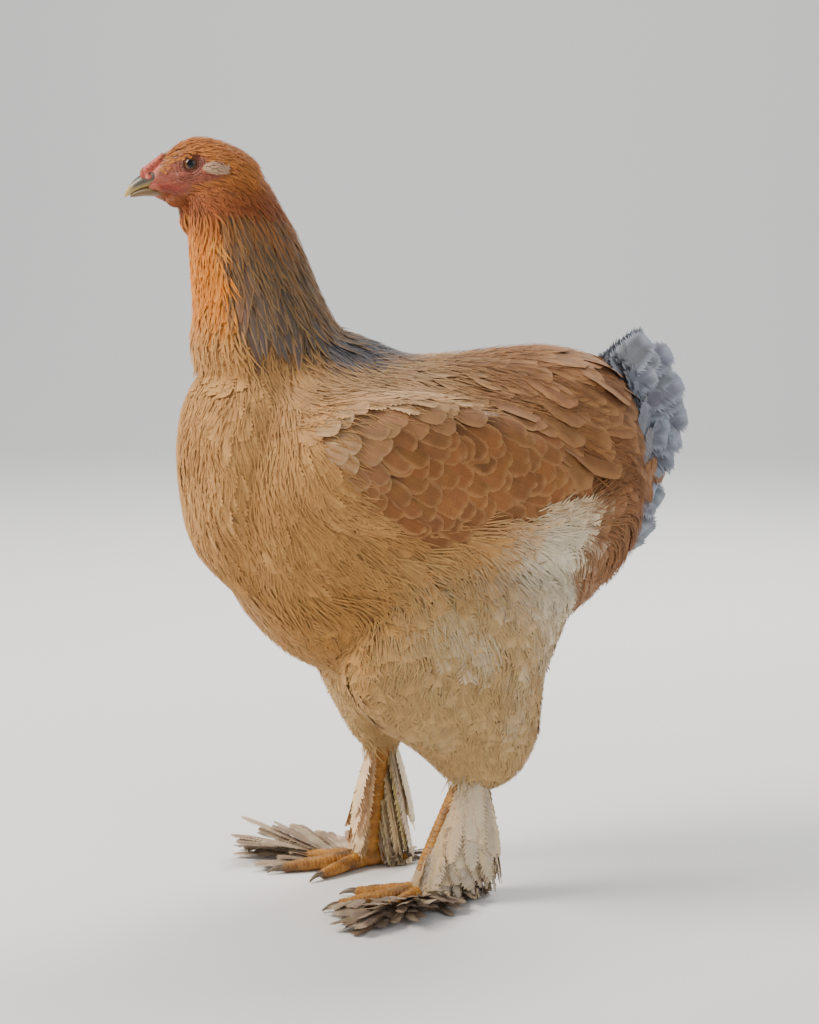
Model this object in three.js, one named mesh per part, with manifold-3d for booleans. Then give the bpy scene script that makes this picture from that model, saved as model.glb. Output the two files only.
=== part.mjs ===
// A life-size brahma hen, standing upright with its head turned to its right.
// Millimetres. The hen faces -Y, its left side is +X and up is +Z.
import * as THREE from "three";
import { mergeVertices } from "three/addons/utils/BufferGeometryUtils.js";
import Module from "manifold-3d";

const wasm = await Module();
wasm.setup();

// Driving dimensions
const gap = 0.3; // between pieces that touch
const vaneThick = 0.9;
const rootSink = 2.5; // how deep a feather's root sits
const rise = 0.7; // how high a feather lies just past its root
const lineStep = 3; // step along a body's skin when a feather is laid on it
const hackleDepth = 3.5; // how far the base of the hackle lies below the neck's outline
const wingDepth = 5;
const capeClear = 1.2; // between the cape's base and the back
const roofSlope = THREE.MathUtils.degToRad(24);
const headTurn = THREE.MathUtils.degToRad(-20);
const headAt = [-10, -164, 588.5]; // centre of the skull
const hipWide = 55; // from the middle to each foot
const hockHigh = 118;
const ankleHigh = 19;
const eyeRadius = 6.6;

// Ring half sizes are [to each side, towards the front or top, towards the back or bottom].
const torsoRings = [
  { at: [0, -185, 367], half: [7, 9, 14] },
  { at: [0, -180, 366], half: [24, 28, 42] },
  { at: [0, -168, 362], half: [62, 66, 82] },
  { at: [0, -138, 352], half: [88, 96, 104] },
  { at: [0, -96, 342], half: [102, 124, 140] },
  { at: [0, -48, 334], half: [110, 130, 154] },
  { at: [0, 0, 332], half: [112, 112, 158] },
  { at: [0, 50, 334], half: [110, 110, 152] },
  { at: [0, 100, 340], half: [102, 108, 142] },
  { at: [0, 145, 346], half: [88, 100, 124] },
  { at: [0, 184, 350], half: [62, 78, 96] },
  { at: [0, 205, 352], half: [30, 40, 54] },
  { at: [0, 212, 353], half: [9, 12, 16] },
];
const neckRings = [
  { at: [0, -112, 408], half: [60, 54, 62] },
  { at: [0, -112, 444], half: [72, 67, 76] },
  { at: [0, -113, 462], half: [65, 65, 63] },
  { at: [0, -118, 484], half: [56, 57, 54] },
  { at: [0, -126, 510], half: [48, 51, 51] },
  { at: [0, -134, 536], half: [41, 44, 49] },
  { at: [-1, -139, 558], half: [34, 40, 43] },
  { at: [-3, -142, 577], half: [27, 33, 35] },
  { at: [-4, -143, 587], half: [20, 25, 26] },
  { at: [-4, -143, 593], half: [8, 11, 10] },
];
const neckCoreDepth = [12, 13, 8, 5, 4, 4, 4, 3, 2, 0];

// Feather rows: where on the body the roots lie, how many, and their length and width
const hackleRows = [
  { high: 575, count: 9, reach: 118, long: 32, wide: 12 },
  { high: 551, count: 10, reach: 130, long: 44, wide: 13.5 },
  { high: 525, count: 11, reach: 140, long: 56, wide: 14.5 },
  { high: 497, count: 13, reach: 148, long: 68, wide: 14.5 },
];
const covertRows = [
  { back: -110, levels: [-0.62, -0.21, 0.21, 0.62], long: 46 },
  { back: -82, levels: [-0.82, -0.41, 0, 0.41, 0.82], long: 50 },
  { back: -54, levels: [-0.62, -0.21, 0.21, 0.62], long: 51 },
  { back: -26, levels: [-0.82, -0.41, 0, 0.41, 0.82], long: 52 },
  { back: 2, levels: [-0.41, 0, 0.41, 0.8], long: 56 },
];
const covertWide = 22;
const flightFeathers = { count: 6, back: 24, levels: [-0.9, 0.62], long: 106, wide: 17 };
const saddleRows = [
  { back: 34, count: 4, reach: 36, bare: 0, long: 52 },
  { back: 63, count: 5, reach: 44, bare: 0, long: 54 },
  { back: 92, count: 6, reach: 52, bare: 0, long: 54 },
  { back: 121, count: 7, reach: 80, bare: 0, long: 52 },
  { back: 148, count: 8, reach: 96, bare: 24, long: 46 },
];
const saddleWide = 24;
const tailFeathers = [
  { rise: 39, spread: 3, long: 118, wide: 32 },
  { rise: 27, spread: 7, long: 112, wide: 32 },
  { rise: 17, spread: 11, long: 102, wide: 31 },
  { rise: 8, spread: 15, long: 87, wide: 30 },
  { rise: -6, spread: 18, long: 72, wide: 28 },
  { rise: -24, spread: 20, long: 66, wide: 26 },
  { rise: -44, spread: 21, long: 68, wide: 24 },
];
const tailRoot = [4, 142, 378];
const bootRows = [
  { level: 93, turns: [34, -26, -88], long: 60 },
  { level: 73, turns: [64, 4, -56, -112], long: 56 },
  { level: 53, turns: [36, -26, -86], long: 46 },
];
const bootWide = 14;
const bootFlare = 0.42;
const toeFeathers = [
  { share: 0.75, turn: 34, rise: 6, long: 76 },
  { share: 0.62, turn: 45, rise: 33, long: 74 },
  { share: 0.48, turn: 59, rise: 7, long: 66 },
  { share: 0.34, turn: 74, rise: 27, long: 60 },
  { share: 0.2, turn: 90, rise: 9, long: 54 },
];
const toeFeatherWide = 13;
const footFeathering = { left: 0.84, right: 1.04 }; // the near foot's feathers are worn shorter

const headRings = [
  { at: [0, 46, -14], half: [14, 19, 16] },
  { at: [0, 35, -10], half: [22, 24, 22] },
  { at: [0, 18, -5], half: [24.5, 27, 30] },
  { at: [0, 2, -3], half: [22.5, 29, 27] },
  { at: [0, -12, -3], half: [18.5, 27, 24] },
  { at: [0, -24, -5], half: [14, 21, 20] },
  { at: [0, -33, -7], half: [10.5, 14, 16] },
  { at: [0, -38, -8], half: [8.5, 10, 12] },
];
const beakUpperRings = [
  { at: [0, -30, -6], half: [9, 10, 6] },
  { at: [0, -38, -7], half: [8.2, 8.5, 5] },
  { at: [0, -46, -9.5], half: [6.6, 7, 4] },
  { at: [0, -53, -13], half: [4.4, 5, 3.6] },
  { at: [0, -58, -17], half: [2, 2.6, 2.6] },
  { at: [0, -59.6, -19.6], half: [0.7, 0.9, 1] },
];
const beakLowerRings = [
  { at: [0, -30, -17], half: [8, 4, 4.5] },
  { at: [0, -38, -16.6], half: [7, 3.4, 4.2] },
  { at: [0, -46, -17.2], half: [5, 2.6, 3.4] },
  { at: [0, -53, -19], half: [2.6, 1.6, 2] },
  { at: [0, -55, -19.8], half: [1, 0.7, 0.8] },
];

const hock = { left: 40, right: 2 }; // along Y
const ankle = { left: 2, right: -10 };
const thighRings = {
  left: [
    { at: [50, 16, 312], half: [34, 30, 70] },
    { at: [60, 20, 258], half: [54, 74, 112] },
    { at: [62, 18, 222], half: [53, 86, 100] },
    { at: [62, 14, 188], half: [49, 88, 90] },
    { at: [61, 28, 158], half: [44, 80, 72] },
    { at: [60, 38, 136], half: [38, 60, 62] },
    { at: [58, 46, 117], half: [32, 46, 48] },
    { at: [57, 48, 101], half: [24, 32, 34] },
    { at: [57, 48, 93], half: [12, 16, 16] },
  ],
  right: [
    { at: [50, 16, 312], half: [34, 30, 70] },
    { at: [60, 16, 258], half: [54, 72, 110] },
    { at: [61, 10, 222], half: [52, 72, 96] },
    { at: [61, 6, 192], half: [47, 66, 82] },
    { at: [60, 6, 168], half: [41, 58, 64] },
    { at: [58, 4, 146], half: [34, 46, 48] },
    { at: [57, 2, 124], half: [26, 34, 32] },
    { at: [56, 2, 110], half: [18, 24, 22] },
    { at: [56, 2, 103], half: [9, 12, 12] },
  ],
};

const wingRings = [
  { at: [86, -124, 366], half: [20, 14, 16] },
  { at: [92, -108, 364], half: [28, 42, 44] },
  { at: [96, -72, 362], half: [30, 58, 58] },
  { at: [98, -20, 360], half: [30, 62, 60] },
  { at: [96, 40, 354], half: [28, 58, 58] },
  { at: [88, 90, 345], half: [26, 44, 42] },
  { at: [80, 122, 335], half: [20, 30, 28] },
  { at: [74, 138, 328], half: [10, 15, 14] },
];
const tailRings = [
  { at: [0, 146, 376], half: [24, 38, 54] },
  { at: [0, 178, 374], half: [30, 48, 78] },
  { at: [0, 198, 370], half: [31, 46, 76] },
  { at: [0, 209, 368], half: [25, 42, 64] },
  { at: [0, 217, 368], half: [16, 32, 50] },
  { at: [0, 222, 370], half: [6, 12, 18] },
];
const toes = [
  { name: "inner", turn: 28, long: 58, thick: 6.4 },
  { name: "middle", turn: -2, long: 76, thick: 7 },
  { name: "outer", turn: -34, long: 62, thick: 6.4 },
  { name: "hind", turn: 172, long: 34, thick: 5.4 },
];

// Share of the length, and share of the full width there
const roundShape = [[0, 0.45], [0.14, 0.75], [0.72, 1], [1, 0.45]];
const pointedShape = [[0, 0.45], [0.13, 0.75], [0.6, 1], [1, 0.2]];
const longShape = [[0, 0.45], [0.1, 0.7], [0.78, 1], [1, 0.5]];

// A closed body of rings along a smooth centre line. Each ring lies across two fixed axes.
class Loft {
  constructor(rings, side, up) {
    this.centre = curveThrough(rings.map((r) => r.at));
    this.half = curveThrough(rings.map((r) => r.half));
    this.side = new THREE.Vector3(...side);
    this.up = new THREE.Vector3(...up);
  }

  // The point at angle 0 is on the side axis, and at a quarter turn on the up axis.
  point(t, angle, height = 0) {
    const at = this.centre.getPoint(t);
    const half = this.half.getPoint(t);
    const sine = Math.sin(angle);
    const rise = (sine > 0 ? half.y : half.z) + height;
    return at
      .addScaledVector(this.side, Math.cos(angle) * (half.x + height))
      .addScaledVector(this.up, sine * rise);
  }

  // The share of the way at which the centre line passes a value along one axis (0, 1 or 2)
  shareAt(axis, value) {
    const rising = this.centre.getPoint(1).getComponent(axis) > this.centre.getPoint(0).getComponent(axis);
    let low = 0;
    let high = 1;
    for (let i = 0; i < 20; i++) {
      const t = (low + high) / 2;
      if (this.centre.getPoint(t).getComponent(axis) < value === rising) low = t;
      else high = t;
    }
    return low;
  }

  // Outward direction and the stretch of the skin lengthwise and around
  frame(t, angle) {
    const step = 1e-3;
    const low = Math.max(t - step, 0);
    const high = Math.min(t + step, 1);
    const along = this.point(high, angle).sub(this.point(low, angle)).divideScalar(high - low);
    const around = this.point(t, angle + step).sub(this.point(t, angle - step)).divideScalar(2 * step);
    const out = new THREE.Vector3().crossVectors(around, along).normalize();
    const away = this.point(t, angle).sub(this.centre.getPoint(t));
    return { out: out.dot(away) < 0 ? out.negate() : out, along, around };
  }

  // Points and outward directions on the skin from (t, angle), at the given distances. Way is 1 towards
  // the last ring and -1 towards the first, and lean turns the line towards larger angles.
  line(t, angle, way, lean, distances, depth) {
    const stops = [];
    let gone = 0;
    let at = this.point(t, angle, -depth);
    let { out } = this.frame(t, angle);
    const onward = new THREE.Vector3();
    for (const distance of distances) {
      while (gone < distance - 1e-6) {
        const step = Math.min(lineStep, distance - gone);
        const { along, around } = this.frame(t, angle);
        t += (way * Math.cos(lean) * step) / along.length();
        angle += (Math.sin(lean) * step) / around.length();
        gone += step;
        if (t > 0.001 && t < 0.999) {
          const next = this.point(t, angle, -depth);
          onward.subVectors(next, at).setLength(1);
          at = next;
          out = this.frame(t, angle).out;
        } else {
          at = at.clone().addScaledVector(onward, step);
          t = THREE.MathUtils.clamp(t, 0, 1);
        }
      }
      stops.push({ at: at.clone(), out: out.clone() });
    }
    return stops;
  }

  solid(steps, around, grow = 0) {
    const rings = [];
    for (let i = 0; i <= steps; i++) {
      const ring = [];
      for (let j = 0; j < around; j++)
        ring.push(this.point(i / steps, (2 * Math.PI * j) / around, grow));
      rings.push(ring);
    }
    return skinned(rings);
  }
}

function curveThrough(points) {
  return new THREE.CatmullRomCurve3(points.map((p) => new THREE.Vector3(...p)), false, "catmullrom", 0.5);
}

// Seeded draws between low and high
let seed = 20817;
function draw(low, high) {
  seed = (seed * 1103515245 + 12345) % 2147483648;
  return low + ((high - low) * seed) / 2147483648;
}

// Rings of points joined into a closed solid with flat ends.
function skinned(rings) {
  const around = rings[0].length;
  const positions = rings.flat().flatMap((p) => p.toArray());
  const index = [];
  for (let i = 0; i + 1 < rings.length; i++)
    for (let j = 0; j < around; j++) {
      const a = i * around + j;
      const b = i * around + ((j + 1) % around);
      index.push(a, b, b + around, a, b + around, a + around);
    }
  for (const [ring, turned] of [[0, true], [rings.length - 1, false]]) {
    const middle = new THREE.Vector3();
    rings[ring].forEach((p) => middle.addScaledVector(p, 1 / around));
    const hub = positions.push(...middle.toArray()) / 3 - 1;
    for (let j = 0; j < around; j++) {
      const a = ring * around + j;
      const b = ring * around + ((j + 1) % around);
      index.push(hub, ...(turned ? [b, a] : [a, b]));
    }
  }
  const geometry = new THREE.BufferGeometry();
  geometry.setAttribute("position", new THREE.Float32BufferAttribute(positions, 3));
  geometry.setIndex(index);
  return solidOf(geometry);
}

// A flat feather through stops that each have a middle, an outward direction and a half width.
// Both faces are split alike.
function blade(stops, grow = 0) {
  const positions = [];
  stops.forEach((stop, i) => {
    const before = stops[Math.max(i - 1, 0)].at;
    const after = stops[Math.min(i + 1, stops.length - 1)].at;
    const along = new THREE.Vector3().subVectors(after, before).normalize();
    const across = new THREE.Vector3().crossVectors(along, stop.out).normalize();
    const out = new THREE.Vector3().crossVectors(across, along).normalize();
    across.applyAxisAngle(along, stop.tilt ?? 0);
    out.applyAxisAngle(along, stop.tilt ?? 0);
    for (const [side, face] of [[-1, -1], [1, -1], [1, 1], [-1, 1]]) {
      const corner = stop.at.clone().addScaledVector(across, side * stop.half);
      corner.addScaledVector(out, face * (vaneThick / 2 + grow));
      positions.push(...corner.toArray());
    }
  });
  const index = [0, 2, 1, 0, 3, 2];
  for (let i = 0; i + 1 < stops.length; i++) {
    const a = i * 4;
    index.push(a, a + 1, a + 5, a, a + 5, a + 4);
    index.push(a + 3, a + 6, a + 2, a + 3, a + 7, a + 6);
    index.push(a + 1, a + 2, a + 6, a + 1, a + 6, a + 5);
    index.push(a, a + 7, a + 3, a, a + 4, a + 7);
  }
  const e = (stops.length - 1) * 4;
  index.push(e, e + 1, e + 2, e, e + 2, e + 3);
  const geometry = new THREE.BufferGeometry();
  geometry.setAttribute("position", new THREE.Float32BufferAttribute(positions, 3));
  geometry.setIndex(index);
  return solidOf(geometry);
}

// A feather that grows out of a loft's skin and lies along it
function feather(loft, root, size, fit = (stop) => stop) {
  const shape = size.shape ?? roundShape;
  const distances = shape.map(([s]) => s * size.long);
  const line = loft.line(root.t, root.angle, root.way, root.lean, distances, root.depth);
  return blade(
    line.map((stop, i) => {
      const fitted = fit(stop);
      const height = i === 0 ? -rootSink : rise + size.lift * shape[i][0] * size.long;
      return {
        at: fitted.at.clone().addScaledVector(fitted.out, height),
        out: fitted.out,
        half: (shape[i][1] * size.wide) / 2,
        tilt: size.tilt ?? 0,
      };
    }),
  );
}

function solidOf(geometry) {
  const bare = geometry.clone();
  bare.deleteAttribute("normal");
  bare.deleteAttribute("uv");
  const merged = mergeVertices(bare, 1e-4);
  const made = new wasm.Manifold(
    new wasm.Mesh({
      numProp: 3,
      vertProperties: merged.attributes.position.array,
      triVerts: new Uint32Array(merged.index.array),
    }),
  );
  return made.volume() < 0 ? solidOf(turnedRound(merged)) : made;
}

function turnedRound(geometry) {
  const turned = geometry.clone();
  const index = turned.index.array;
  for (let i = 0; i < index.length; i += 3)
    [index[i + 1], index[i + 2]] = [index[i + 2], index[i + 1]];
  return turned;
}

function joined(solids) {
  return wasm.Manifold.union(solids);
}

// The largest closed body of a solid
function largest(solid) {
  const bodies = solid.decompose();
  return bodies.reduce((best, one) => (one.volume() > best.volume() ? one : best));
}

function geometryOf(solid) {
  const mesh = largest(solid).getMesh();
  const geometry = new THREE.BufferGeometry();
  geometry.setAttribute("position", new THREE.BufferAttribute(mesh.vertProperties, 3));
  geometry.setIndex(new THREE.BufferAttribute(mesh.triVerts, 1));
  geometry.computeVertexNormals();
  return geometry;
}

function finish(colour, roughness) {
  return new THREE.MeshStandardMaterial({ color: colour, roughness, metalness: 0 });
}

const buff = finish(0xc79a6b, 0.9);
const cinnamon = finish(0xb9783f, 0.85);
const slate = finish(0x8a8d96, 0.85);
const cream = finish(0xd9c6a8, 0.9);
const scale = finish(0xd9973a, 0.6);
const claw = finish(0x8a7f74, 0.5);
const horn = finish(0x8f8678, 0.45);
const comb = finish(0xc8605a, 0.6);
const eyeGloss = finish(0x2a160c, 0.15);
const lobeWhite = finish(0xe2d3bd, 0.8);

function node(name, solid, material) {
  const mesh = new THREE.Mesh(geometryOf(solid), material);
  mesh.name = name;
  return mesh;
}

function ellipsoid(at, half, across = 20, down = 14) {
  const ball = new THREE.SphereGeometry(1, across, down);
  ball.scale(...half);
  ball.translate(...at);
  return solidOf(ball);
}

// Torso
const torso = new Loft(torsoRings, [1, 0, 0], [0, 0, 1]);
const torsoGrown = torso.solid(19, 22, gap);

function saddle() {
  const vanes = [];
  for (const row of saddleRows) {
    for (let i = 0; i < row.count; i++) {
      const share = (2 * (i + 0.5)) / row.count - 1;
      const turn = Math.sign(share) * (row.bare + (row.reach - row.bare) * Math.abs(share));
      const root = {
        t: torso.shareAt(1, row.back + draw(-1, 1)),
        angle: THREE.MathUtils.degToRad(90 - turn),
        way: 1,
        lean: -0.2 * share + draw(-0.05, 0.05),
        depth: 0,
      };
      vanes.push(feather(torso, root, { long: row.long * draw(0.94, 1.04), wide: saddleWide, lift: 0.085 }));
    }
  }
  return vanes;
}
const torsoSolid = joined([torso.solid(19, 22), ...saddle()]);

// Head, in its own frame: forward is -Y
function placed(solid) {
  const turn = new THREE.Matrix4().makeRotationZ(headTurn).setPosition(...headAt);
  return solid.transform(turn.elements);
}

function headParts() {
  const skull = new Loft(headRings, [1, 0, 0], [0, 0, 1]);
  const eyeAt = (side) => [side * 14.2, -5, 4.5];
  const lid = (side) => {
    const ring = new THREE.TorusGeometry(eyeRadius - 0.3, 1.5, 5, 16);
    ring.rotateY(Math.PI / 2);
    ring.scale(1, 1.08, 0.95);
    ring.translate(side * 16.8, -5, 4.5);
    return solidOf(ring);
  };
  const room = eyeRadius + gap;
  const sockets = [1, -1].map((side) => ellipsoid(eyeAt(side), [room, room, room], 14, 8));
  const head = joined([skull.solid(15, 18), lid(1), lid(-1)]).subtract(joined(sockets));
  const skullGrown = skull.solid(15, 18, gap);
  return { head, skullGrown, eyeAt };
}

const { head, skullGrown, eyeAt } = headParts();
const beakUpper = new Loft(beakUpperRings, [1, 0, 0], [0, 0, 1]);
const beakLower = new Loft(beakLowerRings, [1, 0, 0], [0, 0, 1]);
const beakUpperGrown = beakUpper.solid(10, 12, gap);
const beakLowerGrown = beakLower.solid(8, 10, gap);

// Pea comb: three low rows of bumps from the bill's root to the brow
function combSolid() {
  const bumps = [];
  for (const [across, high] of [[-3.8, 4], [0, 5.4], [3.8, 4]])
    for (let k = 0; k < 3; k++)
      bumps.push(ellipsoid([across, -42.5 + k * 5.8, -1.5 + k * 5.8], [2.9, 4.7, high + 1], 6, 4));
  return joined(bumps).subtract(skullGrown).subtract(beakUpperGrown);
}

function wattleBall(side, grow) {
  return ellipsoid([side * 9, -19, -25], [3 + grow, 9 + grow, 5.5 + grow], 10, 6);
}
const wattlesGrown = wattleBall(1, gap).add(wattleBall(-1, gap));

function lobeBall(side, grow) {
  return ellipsoid([side * 23, 13, 0], [4 + grow, 9.5 + grow, 5.6 + grow], 10, 6);
}
const lobesGrown = lobeBall(1, gap).add(lobeBall(-1, gap));

const headGroup = new THREE.Group();
headGroup.position.set(...headAt);
headGroup.rotation.z = headTurn;
headGroup.add(node("head", head, buff));
const nostrils = [1, -1].map((side) => ellipsoid([side * 8, -42, -4.2], [2.4, 3, 1.5], 8, 6));
const upperBill = beakUpper.solid(10, 12).subtract(joined([skullGrown, ...nostrils]));
headGroup.add(node("beak_upper", upperBill, horn));
const lowerBill = beakLower.solid(8, 10).subtract(skullGrown.add(beakUpperGrown));
headGroup.add(node("beak_lower", lowerBill, horn));
headGroup.add(node("comb", combSolid(), comb));
for (const [name, side] of [["left", 1], ["right", -1]]) {
  const eye = node("eye_" + name, ellipsoid([0, 0, 0], [eyeRadius, eyeRadius, eyeRadius], 14, 8), eyeGloss);
  eye.position.set(...eyeAt(side));
  headGroup.add(eye);
  headGroup.add(node("earlobe_" + name, lobeBall(side, 0).subtract(skullGrown), lobeWhite));
  const wattle = wattleBall(side, 0).subtract(skullGrown).subtract(beakLowerGrown);
  headGroup.add(node("wattle_" + name, wattle, comb));
}

// Neck
const neck = new Loft(neckRings, [1, 0, 0], [0, -1, 0]);
const neckCoreRings = neckRings.map((ring, i) => {
  const [side, front, back] = ring.half;
  return { at: ring.at, half: [side - neckCoreDepth[i], front, back - neckCoreDepth[i]] };
});
const neckCore = new Loft(neckCoreRings, [1, 0, 0], [0, -1, 0]);

// A stop moved out of the torso where the cape lies on the back
function overTorso(stop) {
  const shares = torsoRings.map((ring) => ring.at[1]);
  let i = 1;
  while (i < shares.length - 2 && stop.at.y > shares[i + 1]) i++;
  const t = (i + (stop.at.y - shares[i]) / (shares[i + 1] - shares[i])) / (shares.length - 1);
  const middle = torso.centre.getPoint(THREE.MathUtils.clamp(t, 0, 1));
  const half = torso.half.getPoint(THREE.MathUtils.clamp(t, 0, 1));
  const away = new THREE.Vector3(stop.at.x - middle.x, 0, stop.at.z - middle.z);
  const share = Math.hypot(away.x / half.x, away.z / half.y);
  const skin = away.length() / share + capeClear;
  if (away.length() >= skin) return stop;
  const out = new THREE.Vector3(away.x / half.x ** 2, 0, away.z / half.y ** 2).normalize();
  return { at: new THREE.Vector3(middle.x, stop.at.y, middle.z).add(away.setLength(skin)), out };
}

function hackle() {
  const vanes = [];
  hackleRows.forEach((row, r) => {
    for (let i = 0; i < row.count; i++) {
      const share = (2 * (i + 0.5 + (r % 2 ? 0.25 : -0.25))) / row.count - 1;
      const root = {
        t: neck.shareAt(2, row.high + draw(-1, 1)),
        angle: THREE.MathUtils.degToRad(-90 + share * row.reach),
        way: -1,
        lean: -0.12 * share + draw(-0.04, 0.04),
        depth: hackleDepth,
      };
      const long = row.long * draw(0.94, 1.06) * (1 - 0.45 * Math.max(Math.abs(share) - 0.35, 0));
      vanes.push(feather(neck, root, { long, wide: row.wide, lift: 0.085, shape: pointedShape }, overTorso));
    }
  });
  return vanes;
}
const neckRoom = torsoGrown.add(placed(joined([skullGrown, wattlesGrown, lobesGrown])));
const neckSolid = joined([neckCore.solid(12, 20), ...hackle()]).subtract(neckRoom);
const neckGrown = neckCore.solid(12, 20, gap);

// Wings
function wing(side) {
  const loft = (depth, last) => {
    const rings = wingRings.slice(0, last).map((ring) => {
      const [x, y, z] = ring.at;
      return { at: [side * x, y, z], half: ring.half.map((h) => h - depth) };
    });
    return new Loft(rings, [side, 0, 0], [0, 0, 1]);
  };
  const skin = loft(0, wingRings.length);
  const vanes = [];
  const lay = (back, level, lean, size) => {
    const root = { t: skin.shareAt(1, back), angle: Math.asin(level), way: 1, lean, depth: wingDepth };
    vanes.push(feather(skin, root, size));
  };
  for (const row of covertRows)
    for (const level of row.levels) {
      const size = { long: row.long * draw(0.95, 1.05), wide: covertWide, lift: 0.08 };
      lay(row.back + draw(-1, 1), level, draw(-0.14, -0.06), size);
    }
  const { count, back, levels, long, wide } = flightFeathers;
  for (let i = 0; i < count; i++) {
    const level = THREE.MathUtils.lerp(levels[0], levels[1], i / (count - 1));
    const size = { long: long - 4 * i, wide, lift: 0.02, tilt: 0.12 * side, shape: longShape };
    lay(back - 2 * i, level, -0.02, size);
  }
  const core = loft(wingDepth, wingRings.length - 1).solid(9, 14);
  return joined([core, ...vanes]).subtract(torsoGrown).subtract(neckGrown);
}

// Tail: two sides like a steep roof, the upper feathers outside
function tailSide(side) {
  return tailFeathers.map((one, i) => {
    const up = THREE.MathUtils.degToRad(one.rise);
    const out = THREE.MathUtils.degToRad(one.spread);
    const way = new THREE.Vector3(side * Math.sin(out), Math.cos(out) * Math.cos(up), Math.sin(up));
    way.normalize();
    const face = new THREE.Vector3(side * Math.cos(roofSlope), 0, Math.sin(roofSlope));
    const start = new THREE.Vector3(side * tailRoot[0], tailRoot[1], tailRoot[2]);
    start.addScaledVector(face, 8 - 1.5 * i);
    start.add(new THREE.Vector3(0, 4 * i, -5.5 * i));
    return blade(
      longShape.map(([s, w]) => ({
        at: start.clone().addScaledVector(way, s * one.long).add(new THREE.Vector3(0, 0, -10 * s * s)),
        out: face,
        half: (w * one.wide) / 2,
      })),
    );
  });
}
const tailCore = new Loft(tailRings, [1, 0, 0], [0, 0, 1]).solid(7, 16);
const tailSolid = joined([tailCore, ...tailSide(1), ...tailSide(-1)]).subtract(torsoGrown);

const bird = new THREE.Group();
bird.add(headGroup);
bird.add(node("torso", torsoSolid, buff));
bird.add(node("neck", neckSolid, slate));
bird.add(node("wing_left", wing(1), cinnamon));
bird.add(node("wing_right", wing(-1), cinnamon));
bird.add(node("tail", tailSolid, slate));

// Legs. A leg's own frame has its origin on the floor under the middle of the hen.

const nail = new Loft(
  [
    { at: [0, 0, 0], half: [2.6, 2.8, 2.4] },
    { at: [0, -5, 0.6], half: [2.2, 2.4, 2] },
    { at: [0, -10, -0.6], half: [1.4, 1.6, 1.4] },
    { at: [0, -14, -2.9], half: [0.5, 0.6, 0.5] },
  ],
  [1, 0, 0],
  [0, 0, 1],
).solid(3, 5);

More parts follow.
